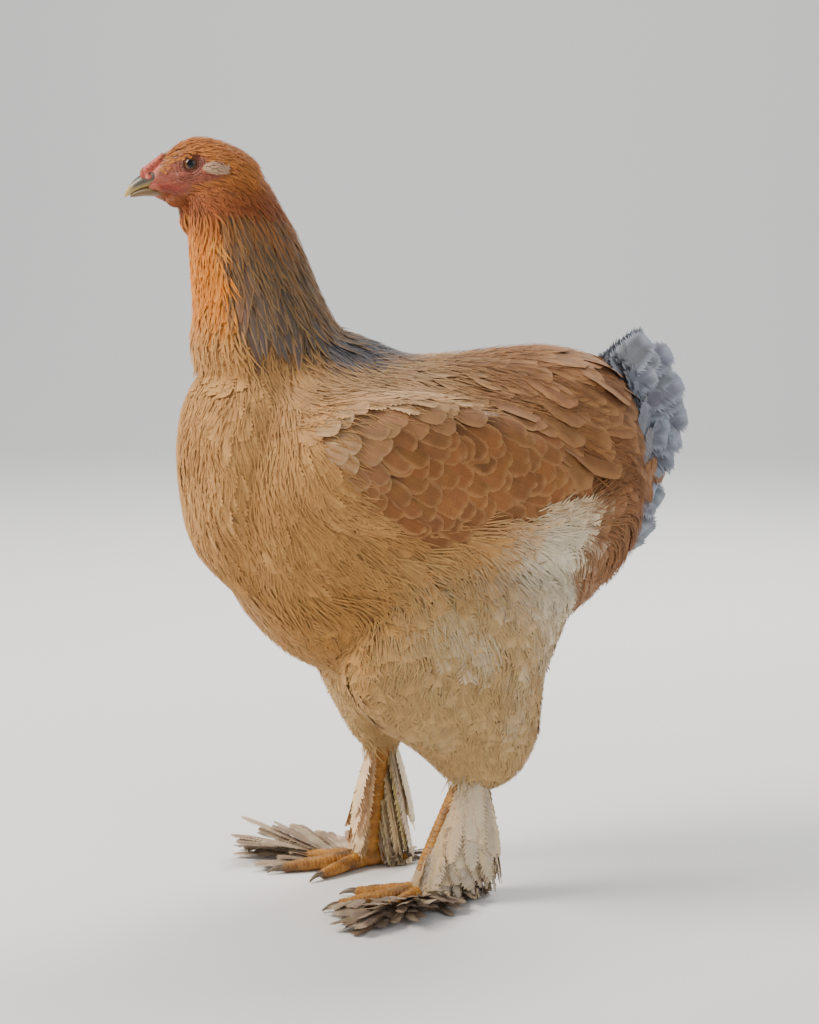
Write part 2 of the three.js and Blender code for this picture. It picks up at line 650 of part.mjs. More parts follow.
function legParts(name, side) {
  const mirrored = thighRings[name].map((r) => ({ at: [side * r.at[0], r.at[1], r.at[2]], half: r.half }));
  const thigh = new Loft(mirrored, [1, 0, 0], [0, -1, 0]);
  const footAt = [side * hipWide, ankle[name], ankleHigh];
  const backAt = (share) => THREE.MathUtils.lerp(hock[name], ankle[name], share);
  const shank = new Loft(
    [
      { at: [side * (hipWide + 1), hock[name] + 4, hockHigh + 8], half: [9, 11, 10] },
      { at: [side * (hipWide + 1), hock[name], hockHigh - 8], half: [10, 11, 11] },
      { at: [side * (hipWide + 1), backAt(0.4), 80], half: [10, 9, 12] },
      { at: [side * hipWide, backAt(0.8), 46], half: [12, 9, 15] },
      { at: [side * hipWide, ankle[name], ankleHigh + gap], half: [11, 9, 12] },
    ],
    [1, 0, 0],
    [0, -1, 0],
  );
  const thighSolid = thigh.solid(11, 16).subtract(torsoGrown);
  const boots = bootRows.flatMap((row) =>
    row.turns.map((turn) => {
      const outward = THREE.MathUtils.degToRad(turn);
      const angle = side > 0 ? outward : Math.PI - outward;
      const t = shank.shareAt(2, row.level);
      const size = { long: row.long * draw(0.92, 1.05), wide: bootWide, lift: bootFlare };
      return feather(shank, { t, angle, way: 1, lean: 0, depth: 0 }, size);
    }),
  );
  const wayOf = (degrees, rise = 0) => {
    const turn = THREE.MathUtils.degToRad(degrees * side);
    const up = THREE.MathUtils.degToRad(rise);
    return new THREE.Vector3(-Math.sin(turn) * Math.cos(up), -Math.cos(turn) * Math.cos(up), Math.sin(up));
  };
  const reach = (toe, share, level) => {
    const way = wayOf(toe.turn);
    return [footAt[0] + way.x * toe.long * share, footAt[1] + way.y * toe.long * share, level];
  };
  const toeSolid = (toe, grow) => {
    const way = wayOf(toe.turn);
    const body = new Loft(
      [
        { at: reach(toe, 0.05, 10), half: [toe.thick * 1.1, toe.thick * 1.2, 10] },
        { at: reach(toe, 0.35, 8), half: [toe.thick, toe.thick * 0.9, 8.4] },
        { at: reach(toe, 0.6, 6), half: [toe.thick * 0.92, toe.thick * 0.9, 6.4] },
        { at: reach(toe, 0.85, 5), half: [toe.thick * 0.8, toe.thick * 0.75, 5.4] },
        { at: reach(toe, 1, 4.4), half: [toe.thick * 0.5, toe.thick * 0.5, 3.6] },
      ],
      [-way.y, way.x, 0],
      [0, 0, 1],
    );
    return body.solid(4, 8, grow);
  };
  const outer = toes.find((toe) => toe.name === "outer");
  const toeVane = (one, grow) => {
    const way = wayOf(-one.turn, one.rise);
    const start = new THREE.Vector3(...reach(outer, one.share, 8));
    const long = one.long * footFeathering[name];
    const stops = roundShape.map(([s, w]) => ({
      at: start.clone().addScaledVector(way, s * long).add(new THREE.Vector3(0, 0, -6 * s * s)),
      out: new THREE.Vector3(0, 0, 1),
      half: (w * toeFeatherWide) / 2 + grow,
    }));
    return blade(stops, grow);
  };
  const footOf = (grow) => {
    const pad = ellipsoid([footAt[0], footAt[1], 9], [12 + grow, 13 + grow, 12 + grow], 10, 6);
    const bare = joined([pad, ...toes.map((toe) => toeSolid(toe, grow))]);
    const low = bare.trimByPlane([0, 0, -1], -ankleHigh - grow);
    return joined([low, ...toeFeathers.map((one) => toeVane(one, grow))]).trimByPlane([0, 0, 1], 0);
  };
  const claws = toes.map((toe) => {
    const mesh = node(`claw_${name}_${toe.name}`, nail, claw);
    const way = wayOf(toe.turn);
    const root = reach(toe, 1, 4.6);
    mesh.position.set(root[0] + way.x * gap, root[1] + way.y * gap, root[2]);
    mesh.rotation.z = Math.atan2(way.x, -way.y);
    return mesh;
  });
  const shankSolid = joined([shank.solid(8, 12), ...boots])
    .subtract(thigh.solid(11, 16, gap))
    .subtract(footOf(gap))
    .trimByPlane([0, 0, 1], 1.5);
  return { thigh: thighSolid, shank: shankSolid, foot: footOf(0), claws };
}

for (const [name, side] of [["left", 1], ["right", -1]]) {
  const leg = new THREE.Group();
  const parts = legParts(name, side);
  leg.add(node("thigh_" + name, parts.thigh, cream));
  leg.add(node("shank_" + name, parts.shank, cream));
  leg.add(node("foot_" + name, parts.foot, scale));
  leg.add(...parts.claws);
  bird.add(leg);
}

// The origin is on the floor under the middle of the whole hen.
const box = new THREE.Box3().setFromObject(bird);
const middle = box.getCenter(new THREE.Vector3());
bird.position.set(-middle.x, -middle.y, -box.min.z);

export default bird;
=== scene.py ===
import math

import bmesh
import bpy
import numpy as np
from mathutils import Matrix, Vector
from mathutils.bvhtree import BVHTree


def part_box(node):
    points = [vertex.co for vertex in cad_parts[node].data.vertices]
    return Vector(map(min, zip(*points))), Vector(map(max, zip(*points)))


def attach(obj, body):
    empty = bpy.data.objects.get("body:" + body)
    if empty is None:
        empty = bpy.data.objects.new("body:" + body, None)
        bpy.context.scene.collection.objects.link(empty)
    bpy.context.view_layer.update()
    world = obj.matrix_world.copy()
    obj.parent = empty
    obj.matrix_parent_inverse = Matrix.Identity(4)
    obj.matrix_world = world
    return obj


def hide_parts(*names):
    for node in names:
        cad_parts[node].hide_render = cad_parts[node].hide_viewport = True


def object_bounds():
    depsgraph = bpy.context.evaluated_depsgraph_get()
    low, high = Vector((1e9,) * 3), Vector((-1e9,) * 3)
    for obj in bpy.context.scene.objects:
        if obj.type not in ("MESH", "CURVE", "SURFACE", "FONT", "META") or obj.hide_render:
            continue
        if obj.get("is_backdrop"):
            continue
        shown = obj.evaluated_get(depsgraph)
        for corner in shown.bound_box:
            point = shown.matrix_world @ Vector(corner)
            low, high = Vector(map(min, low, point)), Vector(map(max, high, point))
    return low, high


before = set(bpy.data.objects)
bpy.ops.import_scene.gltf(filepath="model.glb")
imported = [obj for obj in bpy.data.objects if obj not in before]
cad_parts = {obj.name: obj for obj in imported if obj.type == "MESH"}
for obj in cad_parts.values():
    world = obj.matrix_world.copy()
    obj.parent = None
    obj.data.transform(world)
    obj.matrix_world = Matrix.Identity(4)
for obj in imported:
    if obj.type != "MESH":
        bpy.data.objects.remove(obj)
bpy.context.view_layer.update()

# The shapes below are in millimetres, in the hen's own frame: it faces -Y, its left is +X and up is +Z.
MM = 0.001
HEAD_AT = np.array([-10.0, -164.0, 588.5])
HEAD_TURN = math.radians(-20)
EYE_AT = np.array([14.2, -5.0, 4.5])
EYE_RADIUS = 6.6
HOCK = {1: 40.0, -1: 2.0}
ANKLE = {1: 2.0, -1: -10.0}
SIDE_NAMES = {1: "left", -1: "right"}
HIP_WIDE = 55.0
BODY_VOXEL, HEAD_VOXEL, LEG_VOXEL = 3.6, 0.85, 1.0
FORWARD = (0, -1, 0)
rng = np.random.default_rng(4127)

# Rings of the solids: middle, then half sizes to each side, towards up or front, and the other way
TORSO = [
    (0, -185, 367, 7, 9, 14), (0, -180, 366, 24, 28, 42), (0, -168, 362, 62, 66, 82),
    (0, -138, 352, 88, 96, 104), (0, -96, 342, 102, 124, 140), (0, -48, 334, 110, 130, 154),
    (0, 0, 332, 112, 112, 158), (0, 50, 334, 110, 110, 152), (0, 100, 340, 102, 108, 142),
    (0, 145, 346, 88, 100, 124), (0, 184, 350, 62, 78, 96), (0, 205, 352, 30, 40, 54),
    (0, 212, 353, 9, 12, 16),
]
NECK = [
    (0, -112, 408, 60, 54, 62), (0, -112, 444, 72, 67, 76), (0, -113, 462, 65, 65, 63),
    (0, -118, 484, 56, 57, 54), (0, -126, 510, 48, 51, 51), (0, -134, 536, 41, 44, 49),
    (-1, -139, 558, 34, 40, 43), (-3, -142, 577, 27, 33, 35), (-4, -143, 587, 20, 25, 26),
    (-4, -143, 593, 8, 11, 10),
]
NECK_BACK_DEPTH = [14, 15, 11, 8, 7, 6.5, 6, 5, 3, 1]
NECK_FRONT_DEPTH = [10, 11, 10, 8, 7, 6, 5, 4, 3, 1]
HEAD = [
    (0, 46, -14, 14, 19, 16), (0, 35, -10, 22, 24, 22), (0, 18, -5, 24.5, 27, 30),
    (0, 2, -3, 22.5, 29, 27), (0, -12, -3, 18.5, 27, 24), (0, -24, -5, 14, 21, 20),
    (0, -33, -7, 10.5, 14, 16), (0, -38, -8, 8.5, 10, 12),
]
BEAK_UPPER = [
    (0, -30, -6, 9, 10, 6), (0, -38, -7, 8.2, 8.5, 5), (0, -46, -9.5, 6.6, 7, 4),
    (0, -53, -13, 4.4, 5, 3.6), (0, -58, -17, 2, 2.6, 2.6), (0, -59.6, -19.6, 0.7, 0.9, 1),
]
BEAK_LOWER = [
    (0, -30, -17, 8, 4, 4.5), (0, -38, -16.6, 7, 3.4, 4.2), (0, -46, -17.2, 5, 2.6, 3.4),
    (0, -53, -19, 2.6, 1.6, 2), (0, -55, -19.8, 1, 0.7, 0.8),
]
THIGH = {
    1: [
        (50, 16, 312, 34, 30, 70), (60, 20, 258, 54, 74, 112), (62, 18, 222, 53, 86, 100),
        (62, 14, 188, 49, 88, 90), (61, 28, 158, 44, 80, 72), (60, 38, 136, 38, 60, 62),
        (58, 46, 117, 32, 46, 48), (57, 48, 101, 24, 32, 34), (57, 48, 93, 12, 16, 16),
    ],
    -1: [
        (50, 16, 312, 34, 30, 70), (60, 16, 258, 54, 72, 110), (61, 10, 222, 52, 72, 96),
        (61, 6, 192, 47, 66, 82), (60, 6, 168, 41, 58, 64), (58, 4, 146, 34, 46, 48),
        (57, 2, 124, 26, 34, 32), (56, 2, 110, 18, 24, 22), (56, 2, 103, 9, 12, 12),
    ],
}
WING = [
    (86, -124, 366, 20, 14, 16), (92, -108, 364, 28, 42, 44), (96, -72, 362, 30, 58, 58),
    (98, -20, 360, 30, 62, 60), (96, 40, 354, 28, 58, 58), (88, 90, 345, 26, 44, 42),
    (80, 122, 335, 20, 30, 28),
]
TAIL = [
    (0, 146, 376, 24, 38, 54), (0, 178, 374, 30, 48, 78), (0, 198, 370, 31, 46, 76),
    (0, 209, 368, 25, 42, 64), (0, 217, 368, 16, 32, 50), (0, 222, 370, 6, 12, 18),
]
TOES = {  # turn from straight ahead in degrees, length, half thickness
    "inner": (28, 58, 6.4), "middle": (-2, 76, 7.0), "outer": (-34, 62, 6.4), "hind": (172, 34, 5.4),
}
TOE_RINGS = (  # share of the length, height, and shares of the thickness: wide and upwards; depth below
    (0.02, 10, 1.0, 1.1, 9.6), (0.24, 8.4, 0.98, 1.0, 8.2), (0.34, 8, 0.9, 0.86, 7.7),
    (0.5, 6.9, 0.96, 0.94, 6.7), (0.6, 6.2, 0.84, 0.84, 5.9), (0.76, 5.6, 0.86, 0.84, 5.4),
    (0.86, 5, 0.72, 0.7, 4.7), (0.97, 4.8, 0.66, 0.66, 4.4), (1.02, 4.6, 0.4, 0.4, 2.6),
)
# Balls on the head, as middle and half sizes: on both sides the wattle, the ear patch, the swelling round
# the eye, its brow, the fold under it and the corner of the mouth, then the comb's root and the throat
HEAD_SIDE_BALLS = [
    (8.4, -18, -23.4, 2.8, 8.5, 4.2), (22, 13, 0, 3.6, 9, 5.2), (12.6, -5, 4.5, 7.2, 10.6, 9.4),
    (14.6, -5.5, 11.4, 4.4, 10.5, 3.2), (15.2, -6, -4.4, 4.6, 10.5, 3.4), (9, -30, -13.2, 3.4, 10, 1.8),
]
HEAD_MIDDLE_BALLS = [
    (0, -38.5, -5.2, 8.4, 5.6, 7.6), (0, -6.5, -35, 11, 8.5, 12), (0, -9.5, -28.5, 10, 7.5, 7),
]
COMB_ROWS = ((-4.2, 4.8), (0, 6.2), (4.2, 4.8))
# The soft fold between the crop and the shoulder, and the outline of the folded wing, both as (y, z)
FOLD = np.array([(-112, 440), (-126, 408), (-146, 352), (-149, 304), (-138, 262)], float)
WING_EDGE = np.array([
    (-118, 396), (-96, 408), (-48, 410), (-10, 406), (30, 414), (72, 396), (110, 360), (128, 340),
    (104, 331), (54, 324), (0, 317), (-44, 309), (-74, 336), (-96, 366),
])


def unit(v):
    return v / np.maximum(np.linalg.norm(v, axis=-1, keepdims=True), 1e-9)


def smooth(low, high, x):
    t = np.clip((x - low) / (high - low), 0, 1)
    return t * t * (3 - 2 * t)


def hump(x, width):
    return np.exp(-((x / width) ** 2))


def mix(a, b, t):
    """Between two colours or directions, by a share for each point."""
    return a + (b - a) * np.asarray(t)[..., None]


def clipped(values):
    return np.clip(values, 0, 1)


def srgb(*values):
    """A colour given as 0 to 255, in Blender's linear numbers."""
    v = np.array(values, float) / 255
    return np.where(v <= 0.04045, v / 12.92, ((v + 0.055) / 1.055) ** 2.4)


def rotated(points, angle):
    """Points turned about the upright axis."""
    x, y, z = np.moveaxis(np.asarray(points, float), -1, 0)
    c, s = math.cos(angle), math.sin(angle)
    return np.stack([x * c - y * s, x * s + y * c, z], -1)


def head_out(points):
    """From the head's own frame to the hen's."""
    return rotated(points, HEAD_TURN) + HEAD_AT


def head_in(points):
    return rotated(points - HEAD_AT, -HEAD_TURN)


# Where the hen's own origin lies in the row frame, from the left eye's place in both
SHIFT = sum(map(np.array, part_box("eye_left"))) / 2 / MM - head_out(EYE_AT)


def to_row(points):
    return (np.asarray(points) + SHIFT) * MM


# Noise: a sum of smooth waves in seeded directions, the same at every run
WAVES = unit(np.random.default_rng(77).normal(size=(24, 3)))
PHASES = np.random.default_rng(78).uniform(0, 2 * math.pi, 24)


def noise(points, size, seed=0):
    """Smooth variation from about -1 to 1 with features of about the given size."""
    total = np.zeros(len(points))
    for k in range(8):
        i = (k + seed * 5) % 24
        wave = WAVES[i] * (2 * math.pi / size) * (0.6 + 0.11 * k)
        total += np.sin(points @ wave + PHASES[(i + seed) % 24])
    return total / 4


# ---------------------------------------------------------------- meshes
def spline(points, t):
    """A Catmull-Rom curve through the rows of points, at shares t."""
    points = np.asarray(points, float)
    ends = np.vstack([2 * points[0] - points[1], points, 2 * points[-1] - points[-2]])
    at = clipped(t) * (len(points) - 1)
    i = np.minimum(at.astype(int), len(points) - 2)
    w = (at - i)[:, None]
    a, b, c, d = ends[i], ends[i + 1], ends[i + 2], ends[i + 3]
    return b + 0.5 * w * (c - a + w * (2 * a - 5 * b + 4 * c - d + w * (3 * (b - c) + d - a)))


def ring_faces(count, around):
    faces = []
    for a in range(0, (count - 1) * around, around):
        for j in range(around):
            k, b = (j + 1) % around, a + around
            faces.append((a + j, a + k, b + k, b + j))
    last = (count - 1) * around
    return faces + [tuple(reversed(range(around))), tuple(range(last, last + around))]


def lofted(rings, steps, around, depth=0.0, up=(0, 0, 1), side=(1, 0, 0), place=None):
    """A closed body through rings: half sizes are to the side, along up and against up, less a depth."""
    table = spline(rings, np.linspace(0, 1, steps + 1))
    angle = np.linspace(0, 2 * math.pi, around, endpoint=False)
    c, s = np.cos(angle), np.sin(angle)
    half = np.maximum(table[:, 3:] - depth, 1.0)
    tall = np.where(s > 0, half[:, 1:2], half[:, 2:3])
    points = (table[:, None, :3] + (half[:, :1] * c)[..., None] * np.array(side, float)
              + (tall * s)[..., None] * np.array(up, float)).reshape(-1, 3)
    return (place(points) if place else points), ring_faces(steps + 1, around)


def ball(at, half, place=None, across=24, down=14):
    points = []
    for i in range(1, down):
        for j in range(across):
            a, b = math.pi * i / down, 2 * math.pi * j / across
            points.append((math.sin(a) * math.cos(b), math.sin(a) * math.sin(b), math.cos(a)))
    points = np.array(points) * half + at
    return (place(points) if place else points), ring_faces(down - 1, across)


def linked(name, data):
    obj = bpy.data.objects.new(name, data)
    bpy.context.scene.collection.objects.link(obj)
    return obj


def face_outwards(mesh):
    bm = bmesh.new()
    bm.from_mesh(mesh)
    bmesh.ops.recalc_face_normals(bm, faces=bm.faces)
    bm.to_mesh(mesh)
    bm.free()


def mesh_of(name, shapes):
    """One mesh object in millimetres from (points, faces) pairs."""
    verts, faces = [], []
    for points, shape_faces in shapes:
        faces.extend(tuple(len(verts) + i for i in f) for f in shape_faces)
        verts.extend(map(tuple, points))
    mesh = bpy.data.meshes.new(name)
    mesh.from_pydata(verts, [], faces)
    face_outwards(mesh)
    return linked(name, mesh)


def apply_modifiers(obj):
    old = obj.data
    done = bpy.data.meshes.new_from_object(obj.evaluated_get(bpy.context.evaluated_depsgraph_get()))
    obj.modifiers.clear()
    obj.data = done
    bpy.data.meshes.remove(old)
    return obj


def remeshed(obj, voxel, rounds):
    fuse = obj.modifiers.new("fuse", "REMESH")
    fuse.mode = "VOXEL"
    fuse.voxel_size = voxel
    soft = obj.modifiers.new("soft", "SMOOTH")
    soft.factor, soft.iterations = 0.5, rounds
    return apply_modifiers(obj)


def union(target, other):
    cut = target.modifiers.new("union", "BOOLEAN")
    cut.operation, cut.solver, cut.object = "UNION", "MANIFOLD", other
    apply_modifiers(target)
    mesh = other.data
    bpy.data.objects.remove(other)
    bpy.data.meshes.remove(mesh)


def vertex_data(mesh, kind="co"):
    values = np.empty(len(mesh.vertices) * 3, np.float32)
    mesh.vertices.foreach_get(kind, values)
    return values.reshape(-1, 3).astype(float)


def set_coords(mesh, co):
    mesh.vertices.foreach_set("co", np.asarray(co, np.float32).ravel())
    mesh.update()


def edge_ends(mesh):
    ends = np.empty(len(mesh.edges) * 2, np.int32)
    mesh.edges.foreach_get("vertices", ends)
    return ends.reshape(-1, 2)


def paint_points(mesh, label, colours):
    layer = mesh.attributes.new(label, "FLOAT_COLOR", "POINT")
    data = np.ones((len(mesh.vertices), 4), np.float32)
    data[:, :3] = clipped(colours)
    layer.data.foreach_set("color", data.ravel())


# ---------------------------------------------------------------- skin
def near_line(points, line):
    """Distance of flat points from a broken line."""
    best = np.full(len(points), 1e9)
    for a, b in zip(line[:-1], line[1:]):
        way = b - a
        share = clipped((points - a) @ way / (way @ way))
        best = np.minimum(best, np.linalg.norm(points - a - share[:, None] * way, axis=1))
    return best


def eased(mesh, co, share, rounds):
    """Points drawn towards the middle of their neighbours, by a share of their own."""
    a, b = edge_ends(mesh).T
    here, there = np.concatenate([a, b]), np.concatenate([b, a])
    count = np.maximum(np.bincount(here, minlength=len(co)), 1)
    for _ in range(rounds):
        middle = np.stack([np.bincount(here, co[there, i], len(co)) for i in range(3)], 1) / count[:, None]
        co = co + (middle - co) * (0.5 * share)[:, None]
    return co


def mirrored(rings, side):
    return [(side * x, *rest) for x, *rest in rings]


def flesh_body():
    shapes = [lofted(TORSO, 60, 56, 6.5), lofted(TAIL, 16, 24, 5)]
    t, stops = np.linspace(0, 1, 41), np.linspace(0, 1, len(NECK))
    back, front = (np.interp(t, stops, depth) for depth in (NECK_BACK_DEPTH, NECK_FRONT_DEPTH))
    bare_neck = spline(NECK, t)
    bare_neck[:, 3:] = np.maximum(bare_neck[:, 3:] - np.stack([back, front, back], 1), 2)
    shapes.append(lofted(bare_neck, 60, 40, up=FORWARD))
    for side in (1, -1):
        shapes.append(lofted(mirrored(WING, side), 30, 28, 6.5, side=(side, 0, 0)))
        shapes.append(lofted(mirrored(THIGH[side], side), 34, 36, 9, up=FORWARD))
    obj = remeshed(mesh_of("flesh_body", shapes), BODY_VOXEL, 6)
    co = vertex_data(obj.data)
    x, y, z = np.abs(co[:, 0]), co[:, 1], co[:, 2]
    over_wing = smooth(372, 392, z) * smooth(470, 450, z) * smooth(-150, -130, y) * smooth(160, 130, y)
    wing_front = smooth(-92, -108, y) * smooth(-165, -145, y) * smooth(296, 316, z) * smooth(450, 430, z)
    co = eased(obj.data, co, np.maximum(over_wing, wing_front) * smooth(38, 58, x), 90)
    # slow swells over the trunk, and the fold
    swell = noise(co * (1, 1, 0.6), 95, 2) * 1.2
    swell = swell * smooth(210, 260, z) * smooth(440, 400, z) * smooth(-165, -120, y)
    sink = 4.5 * hump(near_line(co[:, 1:], FOLD), 11) * smooth(26, 44, np.abs(co[:, 0]))
    co += vertex_data(obj.data, "normal") * (swell - sink)[:, None]
    set_coords(obj.data, co)
    return obj


def head_groups(own):
    """Shares of comb, bare face, wattle and ear patch at points in the head's frame."""
    x, y, z = np.abs(own[:, 0]), own[:, 1], own[:, 2]
    along = y + 30
    comb_top = smooth(-11, -7, z - 0.4 * along) * smooth(-46, -42, y) * (1 - smooth(-32, -27, y))
    comb = comb_top * (1 - smooth(7.5, 9.5, x)) * smooth(-3, 1, z - 0.45 * along + 3)
    ring = np.hypot((y + 8) / 17, (z - 1) / 13.5)
    cheek = np.hypot((y + 19) / 15, (z + 9) / 11)
    back = np.hypot((y - 8) / 10, (z + 2) / 7)
    face = np.maximum.reduce([1 - smooth(0.8, 1.08, r) for r in (ring, cheek, back)])
    under_brow = 1 - smooth(-0.5, 1.5, z + 1 - 0.58 * (y + 32))
    face = face * (1 - smooth(15, 18, z)) * smooth(4, 8, x) * under_brow
    wattle = (1 - smooth(0.95, 1.2, np.hypot((y + 19) / 11, (z + 25) / 8))) * (1 - smooth(16, 20, x))
    ear = (1 - smooth(0.85, 1.1, np.hypot((y - 13.5) / 9, (z - 1.5) / 4.6))) * smooth(14, 18, x)
    return comb, face, wattle, ear


def from_eye(own, squash):
    """Distance from the eye's axis in the head's frame, with heights stretched."""
    return np.hypot(own[:, 1] - EYE_AT[1], (own[:, 2] - EYE_AT[2]) * squash)


def spot(own, y, z, long, high):
    return np.exp(-(((own[:, 1] - y) / long) ** 2) - ((own[:, 2] - z) / high) ** 2)


def flesh_head():
    shapes = [lofted(HEAD, 50, 44, 1.2, place=head_out)]
    balls = mirrored(HEAD_SIDE_BALLS, 1) + mirrored(HEAD_SIDE_BALLS, -1) + HEAD_MIDDLE_BALLS
    shapes += [ball(one[:3], one[3:], head_out) for one in balls]
    for across, high in COMB_ROWS:
        for k in range(6):
            at = (across, -44.5 + k * 3.1, -3.0 + k * 2.8)
            shapes.append(ball(at, (2.9, 2.6, high * (1 - 0.1 * k)), head_out, 12, 8))
    obj = remeshed(mesh_of("flesh_head", shapes), HEAD_VOXEL, 2)
    co = vertex_data(obj.data)
    no = vertex_data(obj.data, "normal")
    own = head_in(co)
    aside = np.abs(own[:, 0])
    comb, face, wattle, _ = head_groups(own)
    wrinkle = noise(own * (1, 1, 2.2), 3.4, 1) * 0.22 + noise(own, 1.9, 2) * 0.16
    # folds that run round the eye
    rings = from_eye(own, 1.05)
    near = (1 - smooth(9, 16, rings)) * smooth(7.2, 8.4, rings) * smooth(6, 9, aside)
    wrinkle += near * np.sin(rings * 2.6 + noise(own, 7, 3)) * 0.3
    co += no * (clipped(comb + face + wattle) * wrinkle)[:, None]
    # the ear's opening, behind the pale patch, and the nostril
    co -= no * (spot(own, 26, -1.5, 2.6, 3.4) * 2.2 * smooth(10, 14, aside))[:, None]
    co -= no * (spot(own, -38, -2.6, 2.2, 1.1) * 0.5 * smooth(2, 4, aside))[:, None]
    # room for the eyeball, with lids that stand just over it
    for side in (1, -1):
        centre = head_out(EYE_AT * (side, 1, 1))
        own = head_in(co)
        off_axis = from_eye(own, 1.25)
        outer = (own[:, 0] * side > 8) & (off_axis < 12)
        want = np.where(off_axis < 5.6, EYE_RADIUS - 1.2, EYE_RADIUS + 0.9)
        blend = np.where(off_axis < 5.6, 1, 1 - smooth(6.2, 9.0, off_axis))
        target = centre + unit(co - centre) * (want + hump(off_axis - 6.3, 0.9) * 0.7)[:, None]
        share = (blend * outer)[:, None]
        co = co * (1 - share) + target * share
    set_coords(obj.data, co)
    return obj


def toe_way(side, degrees, rise=0.0):
    turn, up = math.radians(degrees * side), math.radians(rise)
    return np.array([-math.sin(turn) * math.cos(up), -math.cos(turn) * math.cos(up), math.sin(up)])


def foot_at(side):
    return np.array([side * HIP_WIDE, ANKLE[side], 0.0])


def shank_rings(side):
    hock, ankle = HOCK[side], ANKLE[side]
    back = lambda share: hock + (ankle - hock) * share
    wide = side * (HIP_WIDE + 1)
    return [
        (wide, hock + 4, 132, 8.5, 10, 10), (wide, hock, 110, 9, 10, 10),
        (wide, back(0.4), 80, 7.6, 8, 9), (side * HIP_WIDE, back(0.8), 46, 7.4, 8, 9.5),
        (side * HIP_WIDE, ankle - 1, 20, 9, 9.5, 10.5), (side * HIP_WIDE, ankle - 2, 8, 9, 10, 10),
    ]


def scutes(p):
    """Place along a leg or toe, counted in scales, and how far the big scales show there."""
    side = np.where(p[:, 0] > 0, 1.0, -1.0)
    along = (150 - p[:, 2]) / 4.6
    scaly = smooth(12, 22, p[:, 2]) * smooth(135, 125, p[:, 2])
    for leg in (1, -1):
        for turn, long, thick in TOES.values():
            way = toe_way(leg, turn)[:2]
            off = p[:, :2] - foot_at(leg)[:2]
            far = off @ way
            aside = np.abs(off[:, 0] * way[1] - off[:, 1] * way[0])
            here = (side == leg) & (far > 9) & (aside < thick * 1.25) & (p[:, 2] < 22)
            along = np.where(here, far / 3.4, along)
            scaly = np.where(here, smooth(9, 14, far) * smooth(1.5, 4.5, p[:, 2]), scaly)
    return along, scaly


def flesh_legs():
    shapes = []
    for side in (1, -1):
        foot = foot_at(side)
        shapes.append(lofted(shank_rings(side), 30, 20, up=FORWARD))
        shapes.append(ball(foot + (0, 0, 9), (11.6, 12.6, 8.8)))
        for turn, long, thick in TOES.values():
            way = toe_way(side, turn)
            rings = []
            for share, high, wide, top, low in TOE_RINGS:
                at = foot + way * long * share
                rings.append((at[0], at[1], high, thick * wide, thick * top, low))
            shapes.append(lofted(rings, 26, 14, side=(-way[1], way[0], 0)))
    obj = remeshed(mesh_of("flesh_legs", shapes), LEG_VOXEL, 2)
    co = vertex_data(obj.data)
    along, scaly = scutes(co)
    crest = np.mod(along, 1.0)
    co += vertex_data(obj.data, "normal") * (scaly * (0.6 * crest**2 - 0.75 * (crest > 0.9)))[:, None]
    co[:, 2] = np.maximum(co[:, 2], 0.15)
    set_coords(obj.data, co)
    return obj


skin = flesh_body()
union(skin, flesh_head())
union(skin, flesh_legs())
skin.name = skin.data.name = "skin"
skin_co = vertex_data(skin.data)
skin_tree = BVHTree.FromPolygons(skin_co.tolist(), [tuple(p.vertices) for p in skin.data.polygons])


def onto(points):
    """The nearest points of the skin and the outward directions there."""
    found = [skin_tree.find_nearest(p)[:2] for p in points]
    return tuple(np.array([pair[i] for pair in found]).reshape(-1, 3) for i in (0, 1))


def onto_side(y, z, side):
    """The points of one side of the skin that are seen at (y, z) from afar."""
    starts = np.stack([np.full(len(y), side * 220.0), y, z], 1)
    found = [skin_tree.ray_cast(p, (-side, 0, 0), 400.0)[0] for p in starts]
    return np.array([p for p in found if p is not None])


# ---------------------------------------------------------------- lie of the coat
def flow(p):
    """The way that feathers lie at each point, before it is laid along the skin."""
    x, y, z = p.T
    own = head_in(p)

    def ways(a, b, c):
        return np.stack(np.broadcast_arrays(np.asarray(a, float), b, c, x)[:3], 1)

    way = mix(ways(0, 0.12, -1), ways(0, 1, -0.2), smooth(-175, -10, y))
    way = mix(way, ways(0, 0.62, -0.8), smooth(320, 270, z) * smooth(-120, -40, y))
    way = mix(way, ways(0.16 * np.sign(x), 1, -0.3), smooth(396, 420, z) * smooth(-120, -70, y))
    way = mix(way, ways(0, 0.45, -0.9), smooth(150, 200, y) * smooth(400, 350, z))
    way = mix(way, ways(0, 0.12, -1), smooth(262, 205, z))
    way = mix(way, ways(0, 0.24, -1), smooth(412, 452, z) * smooth(-20, -60, y))
    droop = -0.12 - 0.75 * smooth(6, 48, own[:, 1]) - 0.5 * smooth(-4, -24, own[:, 2])
    back = ways(-math.sin(HEAD_TURN), math.cos(HEAD_TURN), droop)
    return unit(mix(way, back, smooth(-40, -26, own[:, 2]) * smooth(500, 540, z)))


def neck_turn(p):
    """Angle round the neck from its front, in degrees."""
    across, middle, high = np.array(NECK, float).T[:3]
    x = np.abs(p[:, 0] - np.interp(p[:, 2], high, across))
    return np.degrees(np.arctan2(x, -(p[:, 1] - np.interp(p[:, 2], high, middle))))


def inside(polygon, y, z):
    found = np.zeros(len(y), bool)
    for (ya, za), (yb, zb) in zip(polygon, np.roll(polygon, -1, 0)):
        slope = (yb - ya) * (z - za) / np.where(zb == za, 1e-9, zb - za) + ya
        found ^= ((za > z) != (zb > z)) & (y < slope)
    return found


def shank_at(side, high):
    """The middle of a shank and half its width at the given heights."""
    x, y, z, half = np.array(shank_rings(side))[::-1].T[:4]
    return np.stack([np.interp(high, z, x), np.interp(high, z, y), high], -1), np.interp(high, z, half)


